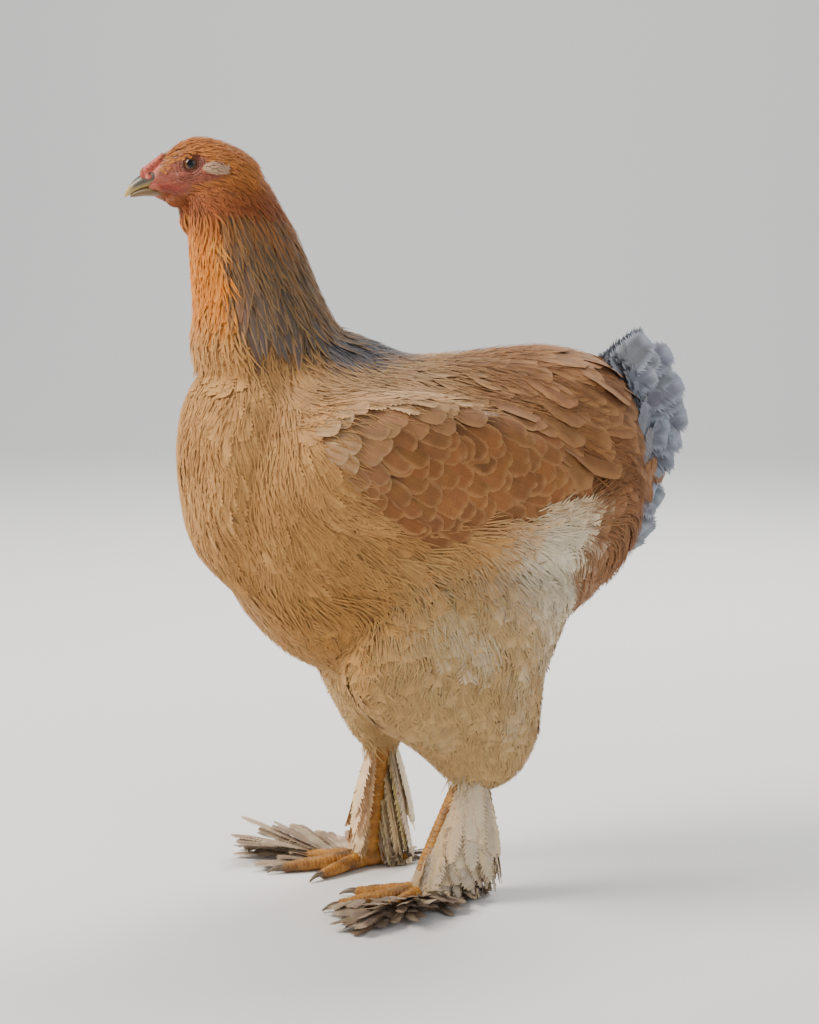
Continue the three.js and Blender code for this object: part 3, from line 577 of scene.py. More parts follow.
def regions(p):
    """A name for the kind of plumage at each point of the skin."""
    x, y, z = p.T
    own = head_in(p)
    turn = neck_turn(p)
    name = np.full(len(p), "body", object)
    name[(z < 262) | ((z < 292 + 36 * smooth(-40, 60, y)) & (y > -70))] = "fluff"
    name[(y > 120) & (z >= 262)] = "rump"
    name[(y > -46) & (z > 372) & (y <= 178)] = "saddle"
    name[(y > 178) & (z > 330)] = "tail"
    name[inside(WING_EDGE, y, z) & (np.abs(x) > 66)] = "wing"
    neck = (z > 440) & (y < -30)
    front = 48 + 10 * smooth(500, 440, z)
    name[neck & (turn > front) & (z > 492 - 12 * smooth(90, 150, turn))] = "hackle"
    name[neck & (turn <= front)] = "throat"
    on_head = (own[:, 2] > -33) & (z > 540)
    comb, face, wattle, ear = head_groups(own)
    name[on_head] = "head"
    name[on_head & (comb + face + 0.3 * wattle > 0.4)] = "bare"
    name[on_head & (ear > 0.5)] = "ear"
    name[on_head & (own[:, 1] < np.where(own[:, 2] > -2, -35.5, -31))] = "bare"
    for side in (1, -1):
        middle, thick = shank_at(side, z)
        near_shank = np.hypot(*(p - middle).T[:2]) < thick + 4.5
        name[(z < 132) & (x * side > 0) & (near_shank | (z < 90))] = "leg"
    return name


def candidates(count):
    """Seeded points spread evenly over the skin."""
    mesh = skin.data
    mesh.calc_loop_triangles()
    tri = np.empty(len(mesh.loop_triangles) * 3, np.int32)
    mesh.loop_triangles.foreach_get("vertices", tri)
    a, b, c = skin_co[tri.reshape(-1, 3)].transpose(1, 0, 2)
    area = np.linalg.norm(np.cross(b - a, c - a), axis=1)
    pick = rng.choice(len(area), count, p=area / area.sum())
    a, b, c = a[pick], b[pick], c[pick]
    u, v = rng.random((2, count))
    flip = u + v > 1
    u[flip], v[flip] = 1 - u[flip], 1 - v[flip]
    return a + (b - a) * u[:, None] + (c - a) * v[:, None]


NEAR_CELLS = [(a, b, c) for a in (-1, 0, 1) for b in (-1, 0, 1) for c in (-1, 0, 1)]


def thinned(points, apart):
    """Which points to keep so that no two are nearer than apart."""
    cell, grid, keep = float(np.max(apart)), {}, []
    keys = np.floor(points / cell).astype(int)
    for i, (p, (a, b, c), r) in enumerate(zip(points.tolist(), keys.tolist(), apart.tolist())):
        x, y, z = p
        limit = r * r
        near = (q for da, db, dc in NEAR_CELLS for q in grid.get((a + da, b + db, c + dc), ()))
        if all((x - q[0]) ** 2 + (y - q[1]) ** 2 + (z - q[2]) ** 2 >= limit for q in near):
            grid.setdefault((a, b, c), []).append(p)
            keep.append(i)
    return np.array(keep, int)


# ---------------------------------------------------------------- feather meshes
def traced(roots, long, steps, way_of, lean, settle):
    """Lines that start at the roots and follow the skin, with the outward directions."""
    at, out = onto(roots)
    line, outs = [at], [out]
    heading = None
    for _ in range(steps):
        way = way_of(at)
        way = unit(way - out * np.sum(way * out, 1, keepdims=True))
        way = unit(way + np.cross(out, way) * lean[:, None])
        if heading is not None:
            way = unit(way * (1 - settle) + heading * settle)
        heading = way
        at, out = onto(at + way * (long / steps)[:, None])
        line.append(at)
        outs.append(unit(out * 0.6 + outs[-1] * 0.4))
    return np.stack(line, 1), np.stack(outs, 1)


def lifted(line, outs, long, base, lift, curl):
    """The line raised off the skin, more and more towards its tip, and smoothed."""
    share = np.linspace(0, 1, line.shape[1])
    high = np.asarray(base)[..., None] * smooth(-0.15, 0.3, share)
    high = high + (lift * long)[:, None] * share + (curl * long)[..., None] * share**3
    points = line + outs * high[..., None]
    for _ in range(2):
        points[:, 1:-1] = points[:, 1:-1] * 0.5 + (points[:, :-2] + points[:, 2:]) * 0.25
    return points


# Outlines of feathers: share of the length, and share of the full width there
ROUND = [(0, 0.16), (0.1, 0.5), (0.3, 0.86), (0.6, 1.0), (0.82, 0.86), (0.94, 0.55), (1, 0.12)]
BROAD = [(0, 0.2), (0.1, 0.6), (0.3, 0.92), (0.7, 1.0), (0.88, 0.8), (0.96, 0.5), (1, 0.14)]
LANCE = [(0, 0.25), (0.12, 0.7), (0.35, 1.0), (0.6, 0.86), (0.82, 0.52), (1, 0.05)]
WISP = [(0, 0.7), (0.3, 1.0), (0.7, 0.7), (1, 0.12)]
STRAP = [(0, 0.2), (0.08, 0.6), (0.3, 0.92), (0.8, 1.0), (0.93, 0.75), (1, 0.2)]


class Coat:
    """Feathers gathered under one name, written as meshes under the limit of faces."""

    LIMIT = 190000

    def __init__(self, name, slot, material):
        self.name, self.slot, self.material = name, slot, material
        self.parts = []

    def add(self, points, outs, wide, shape, tint, rim, unwrap, lock=False, on_floor=False, **look):
        build = lock_mesh if lock else vane_mesh
        verts, tris, upper, across, along, lie = build(points, outs, wide, shape, **look)
        if on_floor:
            verts[..., 2] += np.maximum(0.4 - verts[..., 2].min(1, keepdims=True), 0)
        self.parts.append((verts, tris, upper, across, along, tint, rim, unwrap, lie))

    def write(self):
        pieces, batch, size = [], [], 0
        for part in self.parts:
            verts, tris = part[:2]
            room = max((self.LIMIT - size) // len(tris), 0)
            start = 0
            while start < len(verts):
                if room == 0:
                    pieces.append(batch)
                    batch, size, room = [], 0, self.LIMIT // len(tris)
                stop = min(start + room, len(verts))
                batch.append((part, slice(start, stop)))
                size += (stop - start) * len(tris)
                start, room = stop, 0 if stop < len(verts) else room
        pieces.append(batch)
        for i, batch in enumerate(pieces):
            self.piece(self.name if len(pieces) == 1 else f"{self.name}_{i + 1}", batch)

    def piece(self, name, batch):
        found = {key: [] for key in ("points", "faces", "Vane", "OFBake", "normals", "sharp", "tint", "rim")}
        offset = 0
        for (verts, tris, upper, across, along, tint, rim, unwrap, lie), part in batch:
            some = verts[part]
            count, each = some.shape[:2]
            starts = offset + np.arange(count)[:, None, None] * each
            uv = np.stack([across[part], along[part]], -1)
            patch = 0.004 + 0.992 * unwrap[part, None] + 0.003 * (uv - 0.5)
            for key, values, width in (
                ("points", some, 3), ("faces", tris[None] + starts, 3), ("Vane", uv, 2), ("OFBake", patch, 2),
                ("normals", leaned(some, tris, upper, lie[part]), 3),
                ("sharp", outline(tris, upper)[None] + starts, 2),
                ("tint", np.repeat(tint[part], each, 0), 3), ("rim", np.repeat(rim[part], each, 0), 3),
            ):
                found[key].append(values.reshape(-1, width))
            offset += count * each
        found = {key: np.vstack(values) for key, values in found.items()}
        obj = solid_mesh(name, found["points"], found["faces"])
        mesh = obj.data
        corner = found["faces"].ravel()
        for label in ("Vane", "OFBake"):
            layer = mesh.uv_layers.new(name=label)
            layer.uv.foreach_set("vector", np.asarray(found[label][corner], np.float32).ravel())
        for label in ("tint", "rim"):
            paint_points(mesh, label, found[label])
        mark_sharp(mesh, found["sharp"])
        custom = mesh.attributes.new("custom_normal", "FLOAT_VECTOR", "CORNER")
        custom.data.foreach_set("vector", found["normals"].astype(np.float32).ravel())
        mesh.materials.append(self.material)
        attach(obj, "root")


def leaned(verts, tris, upper, lie):
    """Normals at the corners: the soft ones, turned just enough to face out of their own side."""
    a, b, c = (verts[:, tris[:, i]] for i in range(3))
    flat = unit(np.cross(b - a, c - a))
    corner = np.empty((*flat.shape[:2], 3, 3))
    for start, stop in ((0, upper), (upper, len(tris))):
        total = np.zeros_like(verts)
        for t in range(start, stop):
            for i in range(3):
                total[:, tris[t, i]] += flat[:, t]
        own = unit(total)
        turned_out = unit(lie + own * np.maximum(0.3 - np.sum(lie * own, -1, keepdims=True), 0))
        corner[:, start:stop] = turned_out[:, tris[start:stop]]
    return corner


def outline(tris, upper):
    """The edges of a feather where its upper side meets its under side."""
    above, below = (
        {tuple(sorted(pair)) for a, b, c in part.tolist() for pair in ((a, b), (b, c), (c, a))}
        for part in (tris[:upper], tris[upper:])
    )
    return np.array(sorted(above & below))


def mark_sharp(mesh, pairs):
    code = lambda e: np.min(e, 1).astype(np.int64) * len(mesh.vertices) + np.max(e, 1)
    layer = mesh.attributes.new("sharp_edge", "BOOLEAN", "EDGE")
    layer.data.foreach_set("value", np.isin(code(edge_ends(mesh)), code(pairs)))


def solid_mesh(name, points, faces):
    """An object from points in millimetres in the hen's own frame and triangles."""
    mesh = bpy.data.meshes.new(name)
    mesh.vertices.add(len(points))
    mesh.vertices.foreach_set("co", np.asarray(to_row(points), np.float32).ravel())
    mesh.loops.add(faces.size)
    mesh.loops.foreach_set("vertex_index", np.asarray(faces, np.int32).ravel())
    mesh.polygons.add(len(faces))
    mesh.polygons.foreach_set("loop_start", np.arange(0, faces.size, 3, dtype=np.int32))
    mesh.update(calc_edges=True)
    return linked(name, mesh)


def axes_along(points, outs):
    along = unit(np.gradient(points, axis=1))
    across = unit(np.cross(along, outs))
    return along, across, np.cross(across, along)


def vane_mesh(points, outs, wide, shape, mid=0.6, fringe=False, slant=0.5, camber=0.16,
              thick=0.35, ragged=0.0, roll=0.0, hang=0.0, soft=0.5):
    """Closed, thin feathers along lines of points. Both kinds have a ridge along the shaft.
    With a fringe, the edge is a row of barb tips, and without one it is smooth.
    Soft is how far the shading follows the body's form rather than each feather's."""
    count, stations = points.shape[:2]
    n = stations - 1
    share = np.linspace(0, 1, stations)
    along, across, face = axes_along(points, outs)
    roll = np.broadcast_to(np.asarray(roll, float), (count,))[:, None, None]
    across, face = across * np.cos(roll) + face * np.sin(roll), face * np.cos(roll) - across * np.sin(roll)
    half = np.interp(share, *zip(*shape))[None] * np.asarray(wide)[:, None] / 2
    seeded = np.random.default_rng(count * 31 + n)
    verts, lie, us, vs = [], [], [], []

    def put(block, normal, u, v):
        verts.append(block)
        lie.append(normal)
        us.append(np.full(block.shape[:2], u))
        vs.append(np.broadcast_to(v, block.shape[:2]))

    def strip(place, side, part, width, out, v, wobble=0.0, stray=None):
        """Points at a share of the half width on one side, with their normals."""
        middle, beside, up, ahead = place
        w = width[..., None] * part * (1 + wobble[..., None] if np.ndim(wobble) else 1)
        low = camber * part * part * width[..., None] + hang * part * width[..., None]
        block = middle + beside * side * w - up * low + ahead * slant * w
        for way, amount in zip((ahead, up), (0.6, 0.5) if stray else ()):
            block = block + way * (seeded.normal(0, stray, width.shape) * width * amount)[..., None]
        local = unit(up + beside * side * (2 * camber * part + hang))
        put(block, unit(local * (1 - soft) + out * soft), 0.5 + 0.5 * side * part, v)

    shaft = (points, across, face, along)
    keel = points - face * (thick * np.interp(share, (0, 0.7, 1), (1, 0.6, 0.15)))[None, :, None]
    for block in (points + face * 0.12, keel):
        put(block, unit(face * (1 - soft) + outs * soft), 0.5, share)
    for side in (1, -1):
        strip(shaft, side, mid, half, outs, share)
    halved = lambda a: (a[:, 1:] + a[:, :-1]) / 2 if fringe else a
    shaft, half, outs = [halved(a) for a in shaft], halved(half), halved(outs)
    if fringe:
        share = (share[1:] + share[:-1]) / 2
    for side in (1, -1):
        strip(shaft, side, 1.0, half, outs, share, seeded.uniform(-ragged, ragged, half.shape), ragged)
    joined = [np.concatenate(blocks, 1) for blocks in (verts, us, vs, lie)]
    return joined[0], *vane_faces(n, fringe), *joined[1:]


def lock_mesh(points, outs, wide, shape, soft=0.7, roll=0.0):
    """Closed, three-sided locks of down along lines of points."""
    count, stations = points.shape[:2]
    share = np.linspace(0, 1, stations)
    along, across, face = axes_along(points, outs)
    half = (np.interp(share, *zip(*shape))[None] * np.asarray(wide)[:, None] / 2)[..., None]
    verts = np.concatenate([points + across * half, points - across * half, points + face * half * 0.7], 1)
    tilt = (1, -1, 0)
    lie = np.concatenate([unit((face + across * 0.8 * t) * (1 - soft) + outs * soft) for t in tilt], 1)
    right, left, top = 0, stations, 2 * stations
    faces, under = [], []
    for k in range(stations - 1):
        for a, b, found in ((right, top, faces), (top, left, faces), (left, right, under)):
            found += [(a + k, a + k + 1, b + k), (b + k, a + k + 1, b + k + 1)]
    faces.append((right, top, left))
    faces.append((right + stations - 1, left + stations - 1, top + stations - 1))
    us = np.broadcast_to(np.repeat([1.0, 0.0, 0.5], stations), (count, 3 * stations))
    vs = np.broadcast_to(np.tile(share, 3), (count, 3 * stations))
    return verts, np.array(faces + under, int), len(faces), us, vs, lie


def vane_faces(n, fringe):
    """Triangles of one feather with n steps. Blocks: ridge, keel, middle right, middle left, edges."""
    one = n + 1
    ridge, keel = 0, one
    middle = {1: 2 * one, -1: 3 * one}
    edge = {1: 4 * one, -1: 4 * one + (n if fringe else one)}
    faces, under = [], []

    def put(side, *corners):
        for a, b, c in corners:
            face = (a, b, c) if side > 0 else (a, c, b)
            (under if keel <= min(face) < keel + one else faces).append(face)

    for side in (1, -1):
        for k in range(n):
            r, b, m, e = ridge + k, keel + k, middle[side] + k, edge[side] + k
            put(side, (r, m, r + 1), (r + 1, m, m + 1), (m, e, m + 1))
            if fringe:
                put(side, (b, b + 1, e), (b + 1, m + 1, e), (b, e, m))
            else:
                put(side, (m + 1, e, e + 1), (b, b + 1, e), (b + 1, e + 1, e))
    for k, flip in ((0, 1), (n, -1)):
        r, b, right, left = ridge + k, keel + k, middle[1] + k, middle[-1] + k
        if fringe:
            put(flip, (right, r, left), (right, left, b))
        else:
            loop = [left, edge[-1] + k, b, edge[1] + k, right]
            put(flip, *((r, p, q) for p, q in zip(loop, loop[1:])))
    return np.array(faces + under, int), len(faces)


# ---------------------------------------------------------------- materials
def new_material(name):
    paint = bpy.data.materials.new(name)
    paint.use_nodes = True
    tree = paint.node_tree
    return paint, tree, tree.nodes["Principled BSDF"]


def math_node(tree, operation, a, b=None):
    node = tree.nodes.new("ShaderNodeMath")
    node.operation = operation
    for i, v in enumerate((a,) if b is None else (a, b)):
        if isinstance(v, (int, float)):
            node.inputs[i].default_value = v
        else:
            tree.links.new(v, node.inputs[i])
    return node.outputs[0]


def times(tree, a, b):
    return math_node(tree, "MULTIPLY", a, b)


def plain_input(shader, **values):
    for key, value in values.items():
        shader.inputs[key.replace("_", " ")].default_value = value


def ranged(tree, value, low, high, out_low=0.0, out_high=1.0, smooth_step=True):
    node = tree.nodes.new("ShaderNodeMapRange")
    node.interpolation_type = "SMOOTHSTEP" if smooth_step else "LINEAR"
    tree.links.new(value, node.inputs["Value"])
    for key, v in (("From Min", low), ("From Max", high), ("To Min", out_low), ("To Max", out_high)):
        node.inputs[key].default_value = v
    return node.outputs["Result"]


def blended(tree, share, a, b, kind="MIX"):
    node = tree.nodes.new("ShaderNodeMix")
    node.data_type = "RGBA"
    node.blend_type = kind
    for index, v in ((0, share), (6, a), (7, b)):
        if isinstance(v, (int, float)):
            node.inputs[index].default_value = v
        elif isinstance(v, (tuple, list, np.ndarray)):
            node.inputs[index].default_value = (*[float(c) for c in v][:3], 1)
        else:
            tree.links.new(v, node.inputs[index])
    return node.outputs[2]


def noise_node(tree, size_mm, detail=2.0, stretch=None):
    """A noise value over the object's own coordinates, with features of a size in millimetres."""
    place = tree.nodes.new("ShaderNodeTexCoord").outputs["Object"]
    if stretch:
        scale = tree.nodes.new("ShaderNodeMapping")
        scale.inputs["Scale"].default_value = stretch
        tree.links.new(place, scale.inputs["Vector"])
        place = scale.outputs["Vector"]
    node = tree.nodes.new("ShaderNodeTexNoise")
    tree.links.new(place, node.inputs["Vector"])
    node.inputs["Scale"].default_value = 1 / (size_mm * MM)
    node.inputs["Detail"].default_value = detail
    return node.outputs["Fac"]


def attribute(tree, name):
    node = tree.nodes.new("ShaderNodeAttribute")
    node.attribute_name = name
    return node.outputs["Color"]


def bumped(tree, shader, height, strength, distance_mm):
    node = tree.nodes.new("ShaderNodeBump")
    node.inputs["Strength"].default_value = strength
    node.inputs["Distance"].default_value = distance_mm * MM
    tree.links.new(height, node.inputs["Height"])
    tree.links.new(node.outputs["Normal"], shader.inputs["Normal"])


MUD_DARK = srgb(112, 84, 58)
SOIL_HIGH = (0.034, 0.003)  # metres over the floor where the soil on the feathers starts and is full
BARB_SLANT = 0.22


def feather_paint(name, barbs, rim_from, rim_to, streak, sheen, root, tip=0.0, soil=0.0):
    """Tint along the shaft, rim at the edges, a darker root (partly its own colour, partly painted shade
    under the feathers that lie over it), and barbs that slant to the tip.
    """
    paint, tree, shader = new_material(name)
    link = tree.links.new
    uv = tree.nodes.new("ShaderNodeUVMap")
    uv.uv_map = "Vane"
    split = tree.nodes.new("ShaderNodeSeparateXYZ")
    link(uv.outputs["UV"], split.inputs[0])
    u, v = split.outputs["X"], split.outputs["Y"]
    aside = math_node(tree, "ABSOLUTE", math_node(tree, "SUBTRACT", times(tree, u, 2.0), 1.0))
    blotch = noise_node(tree, 9.0, 3.0)
    fine = noise_node(tree, 1.3, 2.0)
    uneven = math_node(tree, "ADD", aside, times(tree, fine, 0.25))
    edge = ranged(tree, uneven, rim_from + 0.12, rim_to + 0.12)
    if tip:
        edge = math_node(tree, "MAXIMUM", edge, ranged(tree, v, 1.0 - tip, 1.0))
    colour = blended(tree, edge, attribute(tree, "tint"), attribute(tree, "rim"))
    # barbs run from the shaft towards the tip
    lane = math_node(tree, "SUBTRACT", times(tree, v, barbs), times(tree, aside, barbs * BARB_SLANT))
    lane = math_node(tree, "ADD", lane, times(tree, fine, 0.8))
    wave = math_node(tree, "SINE", times(tree, lane, 2 * math.pi))
    shade = ranged(tree, wave, -1, 1, 1 - streak, 1 + streak * 0.6, False)
    shade = times(tree, shade, ranged(tree, blotch, 0.25, 0.75, 0.86, 1.12, False))
    # darker towards the root: partly the feather's own colour, partly painted shade where the feathers above
    # cover it
    shade = times(tree, shade, ranged(tree, v, 0.05, 0.55, root, 1.0))
    shade = times(tree, shade, ranged(tree, aside, 0.0, 0.07, 1.12, 1.0))
    if soil:
        place = tree.nodes.new("ShaderNodeTexCoord").outputs["Object"]
        high = tree.nodes.new("ShaderNodeSeparateXYZ")
        link(place, high.inputs[0])
        low = ranged(tree, high.outputs["Z"], *SOIL_HIGH)
        patchy = ranged(tree, noise_node(tree, 14.0, 4.0), 0.36, 0.62)
        dirt = times(tree, times(tree, low, patchy), soil * 1.6)
        dirt = math_node(tree, "MINIMUM", dirt, 0.9)
        colour = blended(tree, dirt, colour, MUD_DARK)
    toned = tree.nodes.new("ShaderNodeVectorMath")
    toned.operation = "SCALE"
    link(colour, toned.inputs[0])
    link(shade, toned.inputs["Scale"])
    link(toned.outputs[0], shader.inputs["Base Color"])
    link(ranged(tree, blotch, 0.2, 0.8, 0.62, 0.82, False), shader.inputs["Roughness"])
    plain_input(shader, Sheen_Weight=sheen, Sheen_Roughness=0.5, Specular_IOR_Level=0.22)
    bumped(tree, shader, wave, 0.35, 0.25)
    return paint


def skin_paint():
    paint, tree, shader = new_material("skin")
    link = tree.links.new
    grain = noise_node(tree, 1.1, 3.0)
    patch = noise_node(tree, 6.0, 3.0)
    patchy = ranged(tree, patch, 0.35, 0.65, 0.0, 0.8, False)
    colour = blended(tree, patchy, attribute(tree, "tint"), (0.62, 0.5, 0.42), "MULTIPLY")
    link(colour, shader.inputs["Base Color"])
    link(ranged(tree, grain, 0.3, 0.7, 0.42, 0.66, False), shader.inputs["Roughness"])
    bumped(tree, shader, grain, 0.5, 0.5)
    plain_input(shader, Subsurface_Weight=0.12, Subsurface_Radius=(0.004, 0.0015, 0.001))
    return paint


def horn_paint():
    paint, tree, shader = new_material("horn")
    link = tree.links.new
    streaks = noise_node(tree, 2.2, 4.0, (1, 0.25, 1))
    share = ranged(tree, streaks, 0.3, 0.7, 0.0, 1.0, False)
    colour = blended(tree, share, attribute(tree, "tint"), attribute(tree, "rim"))
    link(colour, shader.inputs["Base Color"])
    link(ranged(tree, streaks, 0.3, 0.7, 0.3, 0.46, False), shader.inputs["Roughness"])
    bumped(tree, shader, streaks, 0.2, 0.3)
    return paint


def eye_paint():
    paint, tree, shader = new_material("eye")
    link = tree.links.new
    off = tree.nodes.new("ShaderNodeAttribute")
    off.attribute_name = "off_axis"
    rays = noise_node(tree, 0.7, 3.0)
    ramp = tree.nodes.new("ShaderNodeValToRGB")
    link(off.outputs["Fac"], ramp.inputs["Fac"])
    stops = [  # from the pupil's middle out to the eye's rim
        (0.0, (0.004, 0.003, 0.003)), (0.27, (0.004, 0.003, 0.003)), (0.31, (0.08, 0.026, 0.008)),
        (0.5, (0.2, 0.075, 0.022)), (0.62, (0.12, 0.04, 0.012)), (0.68, (0.02, 0.01, 0.006)),
        (1.0, (0.05, 0.02, 0.015)),
    ]
    elements = ramp.color_ramp.elements
    while len(elements) < len(stops):
        elements.new(0.5)
    for element, (position, colour) in zip(elements, stops):
        element.position = position
        element.color = (*colour, 1)
    streaky = ranged(tree, rays, 0.3, 0.7, 0.0, 0.45, False)
    colour = blended(tree, streaky, ramp.outputs["Color"], (0.25, 0.2, 0.18), "MULTIPLY")
    link(colour, shader.inputs["Base Color"])
    plain_input(shader, Roughness=0.2, Specular_IOR_Level=0.3, Coat_Weight=0.3, Coat_Roughness=0.03)
    return paint


# ---------------------------------------------------------------- plumage
def round_trunk(p):
    """An unwrap of the trunk: angle round its long axis, and place along it."""
    turn = np.arctan2(p[:, 0], p[:, 2] - 340) / (2 * math.pi) + 0.5
    return clipped(np.stack([turn, (p[:, 1] + 215) / 450], 1))


def round_neck(p):
    turn = np.arctan2(p[:, 0] + 2, p[:, 1] + 122) / (2 * math.pi) + 0.5
    return clipped(np.stack([turn, (p[:, 2] - 400) / 215], 1))


def round_head(p):
    own = head_in(p)
    turn = np.arctan2(own[:, 0], own[:, 2]) / (2 * math.pi) + 0.5
    return clipped(np.stack([turn, (own[:, 1] + 60) / 125], 1))


def round_leg(p):
    side = np.sign(p[:, 0])
    turn = np.arctan2(p[:, 0] - side * 58, p[:, 1] - 25) / (2 * math.pi) + 0.5
    return clipped(np.stack([turn * 0.5 + (side < 0) * 0.5, p[:, 2] / 320], 1))


SUNNY = srgb(222, 138, 50)
PEACH = srgb(198, 146, 85)
BUFF = srgb(182, 130, 66)
SAND = srgb(196, 159, 105)
CREAM = srgb(226, 210, 180)
RUST = srgb(130, 83, 46)
CINNAMON = srgb(148, 95, 51)
CINNAMON_RIM = srgb(192, 142, 90)
SADDLE = srgb(162, 110, 62)
SADDLE_RIM = srgb(192, 140, 90)
SLATE = srgb(128, 130, 138)
SLATE_RIM = srgb(180, 184, 194)
DUSK = srgb(110, 90, 73)
DUSK_BLUE = srgb(88, 81, 80)
GOLD = srgb(158, 120, 78)
SAND_PALE = srgb(228, 202, 160)
SHADE = srgb(176, 118, 62)
SAND_PINK = srgb(212, 172, 128)


def trunk_colour(p):
    """Colour of the soft plumage by place, the same for the skin and the coat."""
    x, y, z = p.T
    patch = noise(p, 46, 2)
    c = mix(PEACH, SHADE, 0.35 * smooth(-0.1, 1.0, noise(p, 60, 5)))
    c = mix(c, SUNNY, smooth(445, 490, z) * smooth(-90, -130, y))
    c = mix(c, DUSK, smooth(450, 470, z) * smooth(46, 60, neck_turn(p)))
    # a pale spot on the shoulder: a painted highlight where the light falls on it
    shoulder_highlight = 1.25 * np.exp(-(((y + 45) / 66) ** 2) - ((z - 424) / 25) ** 2)
    c = mix(c, SADDLE, smooth(-20, 50, y) * smooth(325, 368, z))
    c = mix(c, SAND_PINK, 0.75 * clipped(shoulder_highlight))
    c = mix(c, RUST, smooth(90, 150, y) * smooth(290, 330, z) * smooth(440, 405, z))
    c = mix(c, BUFF, smooth(340, 250, z) * smooth(10, -90, y) * 0.85)
    c = mix(c, SAND, smooth(308, 262, z) * smooth(-80, -10, y))
    c = mix(c, SAND, smooth(250, 170, z) * 0.8)
    white = np.exp(-(((y - 82) / 40) ** 2) - ((z - 290) / 38) ** 2)
    c = mix(c, CREAM, clipped(white * 1.25) * smooth(342, 326, z))
    c = mix(c, CREAM, 0.5 * smooth(0.1, 0.9, patch) * smooth(300, 250, z) * smooth(-60, 10, y))
    c = mix(c, RUST * 1.2, smooth(96, 122, y) * smooth(212, 246, z) * smooth(440, 400, z) * 0.85)
    slate = smooth(-96, -80, y) * smooth(12, -14, y) * smooth(436, 447, z) * smooth(62, 44, np.abs(x))
    return mix(c, SLATE * 0.72, slate * 0.9)


def varied(colour, amount, seeded=rng):
    """Each feather a little lighter or darker, and a little warmer or cooler."""
    light = 1 + seeded.normal(0, amount, (len(colour), 1))
    warm = 1 + seeded.normal(0, amount * 0.4, (len(colour), 3)) * (1, 0.6, 1)
    return clipped(colour * light * warm)


points_all = candidates(230000)
kind_all = regions(points_all)


def roots_of(kind, apart_of, where=None):
    """Roots of feathers in one region, a given distance apart, in the chosen part of it."""
    chosen = kind_all == kind
    if where is not None:
        chosen &= where(points_all)
    p = points_all[chosen]
    return p[thinned(p, apart_of(p) if callable(apart_of) else per(p, apart_of))]


def per(p, value):
    return np.broadcast_to(np.asarray(value, float), (len(p),)).copy()


def lay(coat, roots, long, wide, shape, stations, base, lift, tint, rim, unwrap,
        way_of=flow, lean=0.08, curl=0.0, settle=0.3, roll=0.05, sway=0.0, **look):
    """Feathers of the given sizes, each laid along the skin from its root."""
    long, wide = per(roots, long), per(roots, wide)
    long *= rng.uniform(0.88, 1.1, len(roots))
    turn = rng.normal(0, lean, len(roots)) + sway
    line, outs = traced(roots, long, stations - 1, way_of, turn, settle)
    curls = rng.normal(0, 0.3, len(roots)) * curl + curl
    points = lifted(line, outs, long, base, per(roots, lift), curls)
    rolls = rng.normal(0, roll, len(roots))
    coat.add(points, outs, wide, shape, tint, rim, unwrap(roots), roll=rolls, **look)


def strands(coat, roots, long, wide, stations, base, lift, tone, unwrap, *ways, **look):
    """Fine locks over the feathers, of one tone each."""
    lay(coat, roots, long, wide, WISP, stations, base, lift, tone, tone, unwrap, *ways, lock=True, **look)


soft = feather_paint("soft_feather", barbs=34, rim_from=0.4, rim_to=1.0, streak=0.07, sheen=0.1,
                     tip=0.22, root=0.8)
vane = feather_paint("tail_vane", barbs=64, rim_from=0.45, rim_to=0.95, streak=0.08, sheen=0.08,
                     tip=0.12, root=0.76)
firm = feather_paint("firm_feather", barbs=22, rim_from=0.55, rim_to=0.92, streak=0.12, sheen=0.06,
                     tip=0.16, root=0.66)
lance = feather_paint("hackle_feather", barbs=26, rim_from=0.4, rim_to=0.66, streak=0.14, sheen=0.04,
                      tip=0.0, root=0.8)
down_paint = feather_paint("down", barbs=3, rim_from=2, rim_to=3, streak=0.03, sheen=0.12, root=0.78)
muddy = feather_paint("muddy_feather", barbs=20, rim_from=0.3, rim_to=0.95, streak=0.16, sheen=0.08,
                      tip=0.1, root=0.85, soil=0.4)
coats = []

# Breast and front of the trunk
breast = Coat("coat_breast", "buff_feather", soft)
p = roots_of("body", lambda q: 8.6 + 1.6 * smooth(-150, -60, q[:, 1]))
tone = varied(trunk_colour(p), 0.025)
lay(breast, p, 36, 27, ROUND, 10, 1.0, 0.022, tone * 0.96, clipped(tone * 1.07), round_trunk,
    fringe=True, mid=0.84, slant=0.4, camber=0.04, ragged=0.04, lean=0.1, soft=0.95)
p = roots_of("body", 3.1)
tone = varied(trunk_colour(p), 0.035)
strands(breast, p, 23, 1.35, 5, 2.0, 0.07, tone, round_trunk, curl=0.03, lean=0.2,
        sway=0.3 * noise(p, 36, 1), soft=0.85)
coats.append(breast)

# Throat and upper breast
throat = Coat("coat_throat", "buff_feather", soft)
p = roots_of("throat", lambda q: 3.9 + 2.6 * smooth(570, 460, q[:, 2]), lambda q: neck_turn(q) < 44)
down = smooth(575, 450, p[:, 2])
tone = mix(srgb(180, 100, 42), SUNNY, smooth(0.05, 0.35, down))
glow = clipped(noise(p, 26, 3)) * smooth(0.1, 0.3, down) * (1 - smooth(0.7, 0.9, down))
tone = mix(tone, srgb(232, 156, 66), glow)
tone = varied(mix(tone, PEACH, smooth(0.72, 1.0, down)), 0.05 - 0.03 * down[:, None])
lay(throat, p, 16 + 18 * down, 7 + 13 * down, ROUND, 9, 0.8 + 0.8 * down, 0.1 - 0.05 * down, tone * 0.93,
    clipped(tone * 1.1), round_neck, fringe=True, mid=0.7, slant=0.6, camber=0.1, ragged=0.14,
    curl=0.02, lean=0.2, soft=0.7)
p = roots_of("throat", lambda q: 2.3 + 1.2 * smooth(520, 450, q[:, 2]), lambda q: q[:, 2] > 446)
down = smooth(575, 450, p[:, 2])
tone = mix(srgb(186, 106, 46), srgb(228, 136, 44), smooth(0.05, 0.3, down))
tone = mix(tone, srgb(236, 166, 80), clipped(noise(p * (1, 1, 0.4), 13, 3)) * 0.7)
tone = varied(mix(tone, PEACH, smooth(0.66, 1.0, down)), 0.07)
